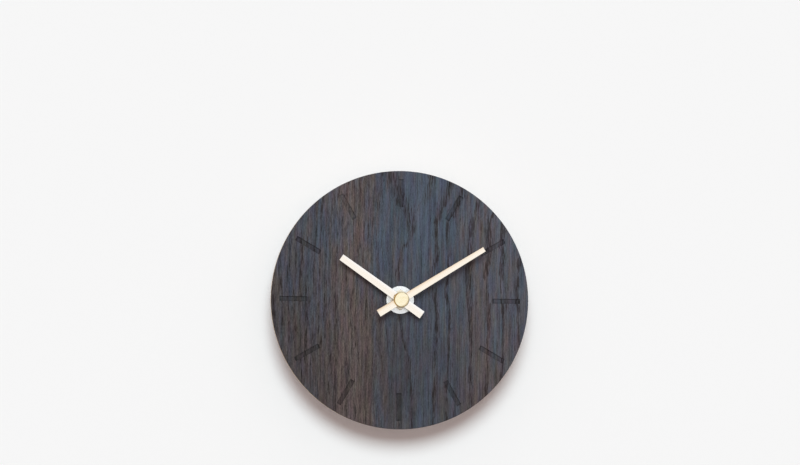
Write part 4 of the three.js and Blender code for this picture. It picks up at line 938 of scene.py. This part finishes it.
# Cap: a closed round nut, turned from brass and plated like the hands, screwed on the end of the
# minute arbor over the minute hand. Its face is plain, a hair sunk inside a chamfered rim.
cap_low, cap_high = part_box("cap_nut")
cap_face = 6 * mm
cap_foot = 0.5 * mm
cap_rim, cap_step, cap_sink = 1.15 * mm, 0.25 * mm, 0.12 * mm
cap_chamfer = 0.9 * mm
cap_bore, bore_depth = 1.3 * mm, 2.4 * mm
cap = add_drum("centre_cap", cap_high.x, cap_high.y - cap_foot, cap_high.y, 96)
pick_faces(cap, lambda middle, normal: normal.y < -0.9)
bpy.ops.mesh.extrude_region_move(
    TRANSFORM_OT_translate={"value": (0, cap_low.y - cap_high.y + cap_foot, 0)})
narrow = cap_face / cap_high.x
bpy.ops.transform.resize(value=(narrow, 1, narrow), center_override=(0, cap_low.y, 0))
bpy.ops.mesh.inset(thickness=cap_rim)
bpy.ops.mesh.inset(thickness=cap_step)
bpy.ops.transform.translate(value=(0, cap_sink, 0))
leave_mesh()
bevel_edges(cap, lambda a, b: max(a.y, b.y) < cap_low.y + hair
            and min(math.hypot(a.x, a.z), math.hypot(b.x, b.z)) > cap_face - 0.1 * mm, cap_chamfer, 1)
combine(cap, add_drum("bore_cut", cap_bore, cap_high.y - bore_depth, cap_high.y + past, 32))
soften(cap, 0.08 * mm, 2, 20)
cap_gold, *_ = turned_metal("cap_gold", (0.97, 0.89, 0.66, 1), (0.94, 0.84, 0.57, 1), 0.22)
fit(cap, cap_gold, "minute_works", "cap_nut")

# Cell: one AA cell in a plain printed foil sleeve that is shrunk over both ends, with a pressed
# steel nub at the right and a flat steel base at the left. It lies in the open bay.
cell_low, cell_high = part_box("battery_cell")
cell_radius = (cell_high.z - cell_low.z) / 2
cell_z = (cell_high.z + cell_low.z) / 2
cell_y = (cell_high.y + cell_low.y) / 2
nub_radius = 2.75 * mm
nub_height = 1.3 * mm
shoulder = cell_high.x - nub_height
cell_round = 0.5 * mm
sleeve_lip = 0.9 * mm
lip_sink = 0.35 * mm
nub_edge = 0.35 * mm
base_step = 1.2 * mm

deselect_all()
bpy.ops.mesh.primitive_cylinder_add(
    vertices=96, radius=cell_radius, depth=shoulder - cell_low.x, rotation=(0, math.radians(90), 0),
    location=((shoulder + cell_low.x) / 2, cell_y, cell_z))
cell = settle("aa_cell")
bevel_edges(cell, lambda a, b: abs(a.x - b.x) < hair, cell_round, 4)
pick_faces(cell, lambda middle, normal: normal.x > 0.99)
bpy.ops.mesh.inset(thickness=sleeve_lip)
bpy.ops.mesh.extrude_region_move(TRANSFORM_OT_translate={"value": (-lip_sink, 0, 0)})
bpy.ops.mesh.inset(thickness=cell_radius - cell_round - sleeve_lip - nub_radius)
bpy.ops.mesh.extrude_region_move(TRANSFORM_OT_translate={"value": (lip_sink + nub_height, 0, 0)})
leave_mesh()
bevel_edges(cell, lambda a, b: min(a.x, b.x) > cell_high.x - hair, nub_edge, 3)
pick_faces(cell, lambda middle, normal: normal.x < -0.99)
bpy.ops.mesh.inset(thickness=sleeve_lip)
bpy.ops.mesh.extrude_region_move(TRANSFORM_OT_translate={"value": (lip_sink, 0, 0)})
bpy.ops.mesh.inset(thickness=base_step)
bpy.ops.mesh.extrude_region_move(TRANSFORM_OT_translate={"value": (-lip_sink / 2, 0, 0)})
leave_mesh()
soften(cell, 0.06 * mm, 2, 50)

foil_sleeve, shader, place = new_finish("foil_sleeve")
spot = wire("SeparateXYZ", {0: stretch(place, 1, 1, 1)}).outputs
band = between(spot["X"], 13.9, 14.0)
line = times(between(spot["X"], 12.4, 12.5), between(spot["X"], 13.1, 13.2, 1.0, 0.0))
printed = reckon("MAXIMUM", band, line)
handled = mottle(stretch(place, 6, 1.2, 1.2), 1.0, 4.0)
blue = tint(handled, (0.03, 0.10, 0.24, 1), (0.05, 0.15, 0.33, 1))
silver = tint(handled, (0.52, 0.53, 0.54, 1), (0.64, 0.65, 0.66, 1))
feed(shader, {
    "Base Color": tint(printed, blue, silver),
    "Roughness": between(handled, 0.25, 0.75, 0.24, 0.4),
    "Metallic": reckon("MULTIPLY_ADD", printed, 0.4, 0.45),
    "Coat Weight": 0.3,
})
roughen(shader, handled, 0.015 * mm, 0.5)
cell_steel = stamped_sheet("cell_steel", (0.74, 0.74, 0.73, 1), (0.6, 0.6, 0.59, 1), 0.25)
cell.data.materials.append(foil_sleeve)
cell.data.materials.append(cell_steel)
for face in cell.data.polygons:
    from_axis = math.hypot(face.center.y - cell_y, face.center.z - cell_z)
    if from_axis < cell_radius - cell_round - sleeve_lip + hair:
        face.material_index = 1
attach(cell, "battery")
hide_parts("battery_cell")

# Room: a white wall that the clock hangs against, a pale floor far below it, two soft lights side by
# side above the camera, one behind the wall for the clock's back, and an even light all round. The
# camera stands a little left and low.
wall_gap = 0.3 * mm
wall_half_width, wall_foot, wall_head = 3, -0.35, 2.5
deselect_all()
bpy.ops.mesh.primitive_plane_add(size=1, rotation=(math.radians(90), 0, 0),
                                 location=(0, wall_gap, (wall_foot + wall_head) / 2))
bpy.context.object.scale = (2 * wall_half_width, wall_head - wall_foot, 1)
wall = settle("wall")
deselect_all()
bpy.ops.mesh.primitive_plane_add(size=8, location=(0, 0, wall_foot))
floor = settle("floor")


def room_paint(name, level):
    """A paint that shows from its front alone, and lets all light through."""
    finish, shader, _ = new_finish(name)
    tree = finish.node_tree
    feed(shader, {
        "Base Color": (level, level, level, 1),
        "Roughness": 0.9,
        "Specular IOR Level": 0.0,
    })
    rays = source(tree, "LightPath")
    in_front = reckon("SUBTRACT", 1.0, source(tree, "NewGeometry")["Backfacing"])
    seen = times(in_front, reckon("MAXIMUM", rays["Is Camera Ray"], rays["Is Transmission Ray"]))
    clear = source(tree, "BsdfTransparent")[0]
    shown = wire("MixShader", {0: seen, 1: clear, 2: shader.outputs[0]}).outputs[0]
    tree.links.new(shown, tree.nodes["Material Output"].inputs["Surface"])
    return finish


wall.data.materials.append(room_paint("wall_paint", 0.93))
floor.data.materials.append(room_paint("floor_paint", 0.76))


def add_sun(name, way, angle, share, tone):
    """A wide soft light that gives a share of full light to a face parallel to the wall."""
    deselect_all()
    way = Vector(way).normalized()
    bpy.ops.object.light_add(type="SUN", location=-1.5 * way)
    sun = bpy.context.object
    sun.name = sun.data.name = name
    sun.rotation_euler = way.to_track_quat("-Z", "Y").to_euler()
    sun.data.angle = math.radians(angle)
    sun.data.energy = share * math.pi / abs(way.y)
    sun.data.color = tone
    sun.visible_glossy = False


add_sun("key_light_1", (-0.02, 1, -0.6), 30, 0.29, (0.91, 1.055, 1.09))
add_sun("key_light_2", (0.12, 1, -0.6), 30, 0.29, (0.91, 1.055, 1.09))
add_sun("rear_light", (-0.4, -1, -0.7), 20, 0.25, (1, 1, 1))

world = bpy.data.worlds.new("room_light")
bpy.context.scene.world = world
world.use_nodes = True
tree = world.node_tree
way = source(tree, "TexCoord")["Generated"]
rays = source(tree, "LightPath")
toward_wall = wire("VectorMath", {0: way, 1: (0, 1, 0)}, operation="DOT_PRODUCT").outputs["Value"]
rise = wire("SeparateXYZ", {0: way}).outputs["Z"]
# the even light is warm in front of the wall, more so from above, and white behind it
from_above = reckon("MULTIPLY_ADD", rise, 0.65, 1.0)
ambient = wire("VectorMath", {0: (0.47, 0.385, 0.365), 3: from_above},
               operation="SCALE").outputs["Vector"]
ambient = tint(between(toward_wall, -0.2, 0.6), ambient, (0.8, 0.8, 0.81, 1))


def facing(direction, start, end):
    toward = wire("VectorMath", {0: way, 1: Vector(direction).normalized()},
                  operation="DOT_PRODUCT").outputs["Value"]
    return between(toward, start, end)


# what bright metal mirrors: a pale room in front and behind, with a warm dark corner and a cool window,
# and along the wall a dusk that is paler above and golden at the left
corner = (-0.45, -0.55, 0.70)
mirrored = tint(facing(corner, 0.53, 0.7), (1.04, 1.04, 1.04, 1), (1.0, 0.89, 0.78, 1))
mirrored = tint(facing(corner, 0.7, 0.83), mirrored, (0.6, 0.47, 0.35, 1))
mirrored = tint(facing((0.5, -0.75, 0.45), 0.82, 0.97), mirrored, (1.07, 1.13, 1.24, 1))
dusk = tint(between(rise, -0.5, 0.7), (0.4, 0.33, 0.22, 1), (0.9, 0.86, 0.78, 1))
dusk = tint(facing((-1, 0, 0), 0.1, 0.7), dusk, (0.42, 0.25, 0.06, 1))
mirrored = tint(between(reckon("ABSOLUTE", toward_wall), 0.15, 0.65), dusk, mirrored)
lit = tint(rays["Is Glossy Ray"], ambient, mirrored)
seen = reckon("MAXIMUM", rays["Is Camera Ray"], rays["Is Transmission Ray"])
feed(tree.nodes["Background"], {
    "Color": tint(seen, lit, (0.93, 0.93, 0.93, 1)),
    "Strength": 1.0,
})

# the picture is 800 by 465, and the middle of the board's face falls on this point of it
picture_width, picture_height = 800, 465
face_x, face_y = 400.1, 299.95
camera_distance = 2.6
focal_pixels = 3360
sensor_width = 36
camera_side, camera_lift, camera_roll = math.radians(-5.6), math.radians(-1.4), math.radians(0.6)
face_middle = Vector((0, board_front, 0))
outward = Vector((math.sin(camera_side) * math.cos(camera_lift),
                  -math.cos(camera_side) * math.cos(camera_lift), math.sin(camera_lift)))
turn_up = math.atan((face_y - picture_height / 2) / focal_pixels)
turn_left = math.atan((face_x - picture_width / 2) / focal_pixels)
deselect_all()
bpy.ops.object.camera_add(location=face_middle + camera_distance * outward)
camera = bpy.context.object
camera.name = camera.data.name = "camera"
camera.data.sensor_width = sensor_width
camera.data.lens = focal_pixels * sensor_width / picture_width
camera.data.clip_start, camera.data.clip_end = 0.01, 20
aim = (-outward).to_track_quat("-Z", "Y")
camera.rotation_euler = (aim @ Euler((0, 0, camera_roll)).to_quaternion()
                         @ Euler((turn_up, 0, 0)).to_quaternion()
                         @ Euler((0, turn_left, 0)).to_quaternion()).to_euler()
bpy.context.scene.camera = camera

bpy.context.scene.view_settings.view_transform = "Standard"
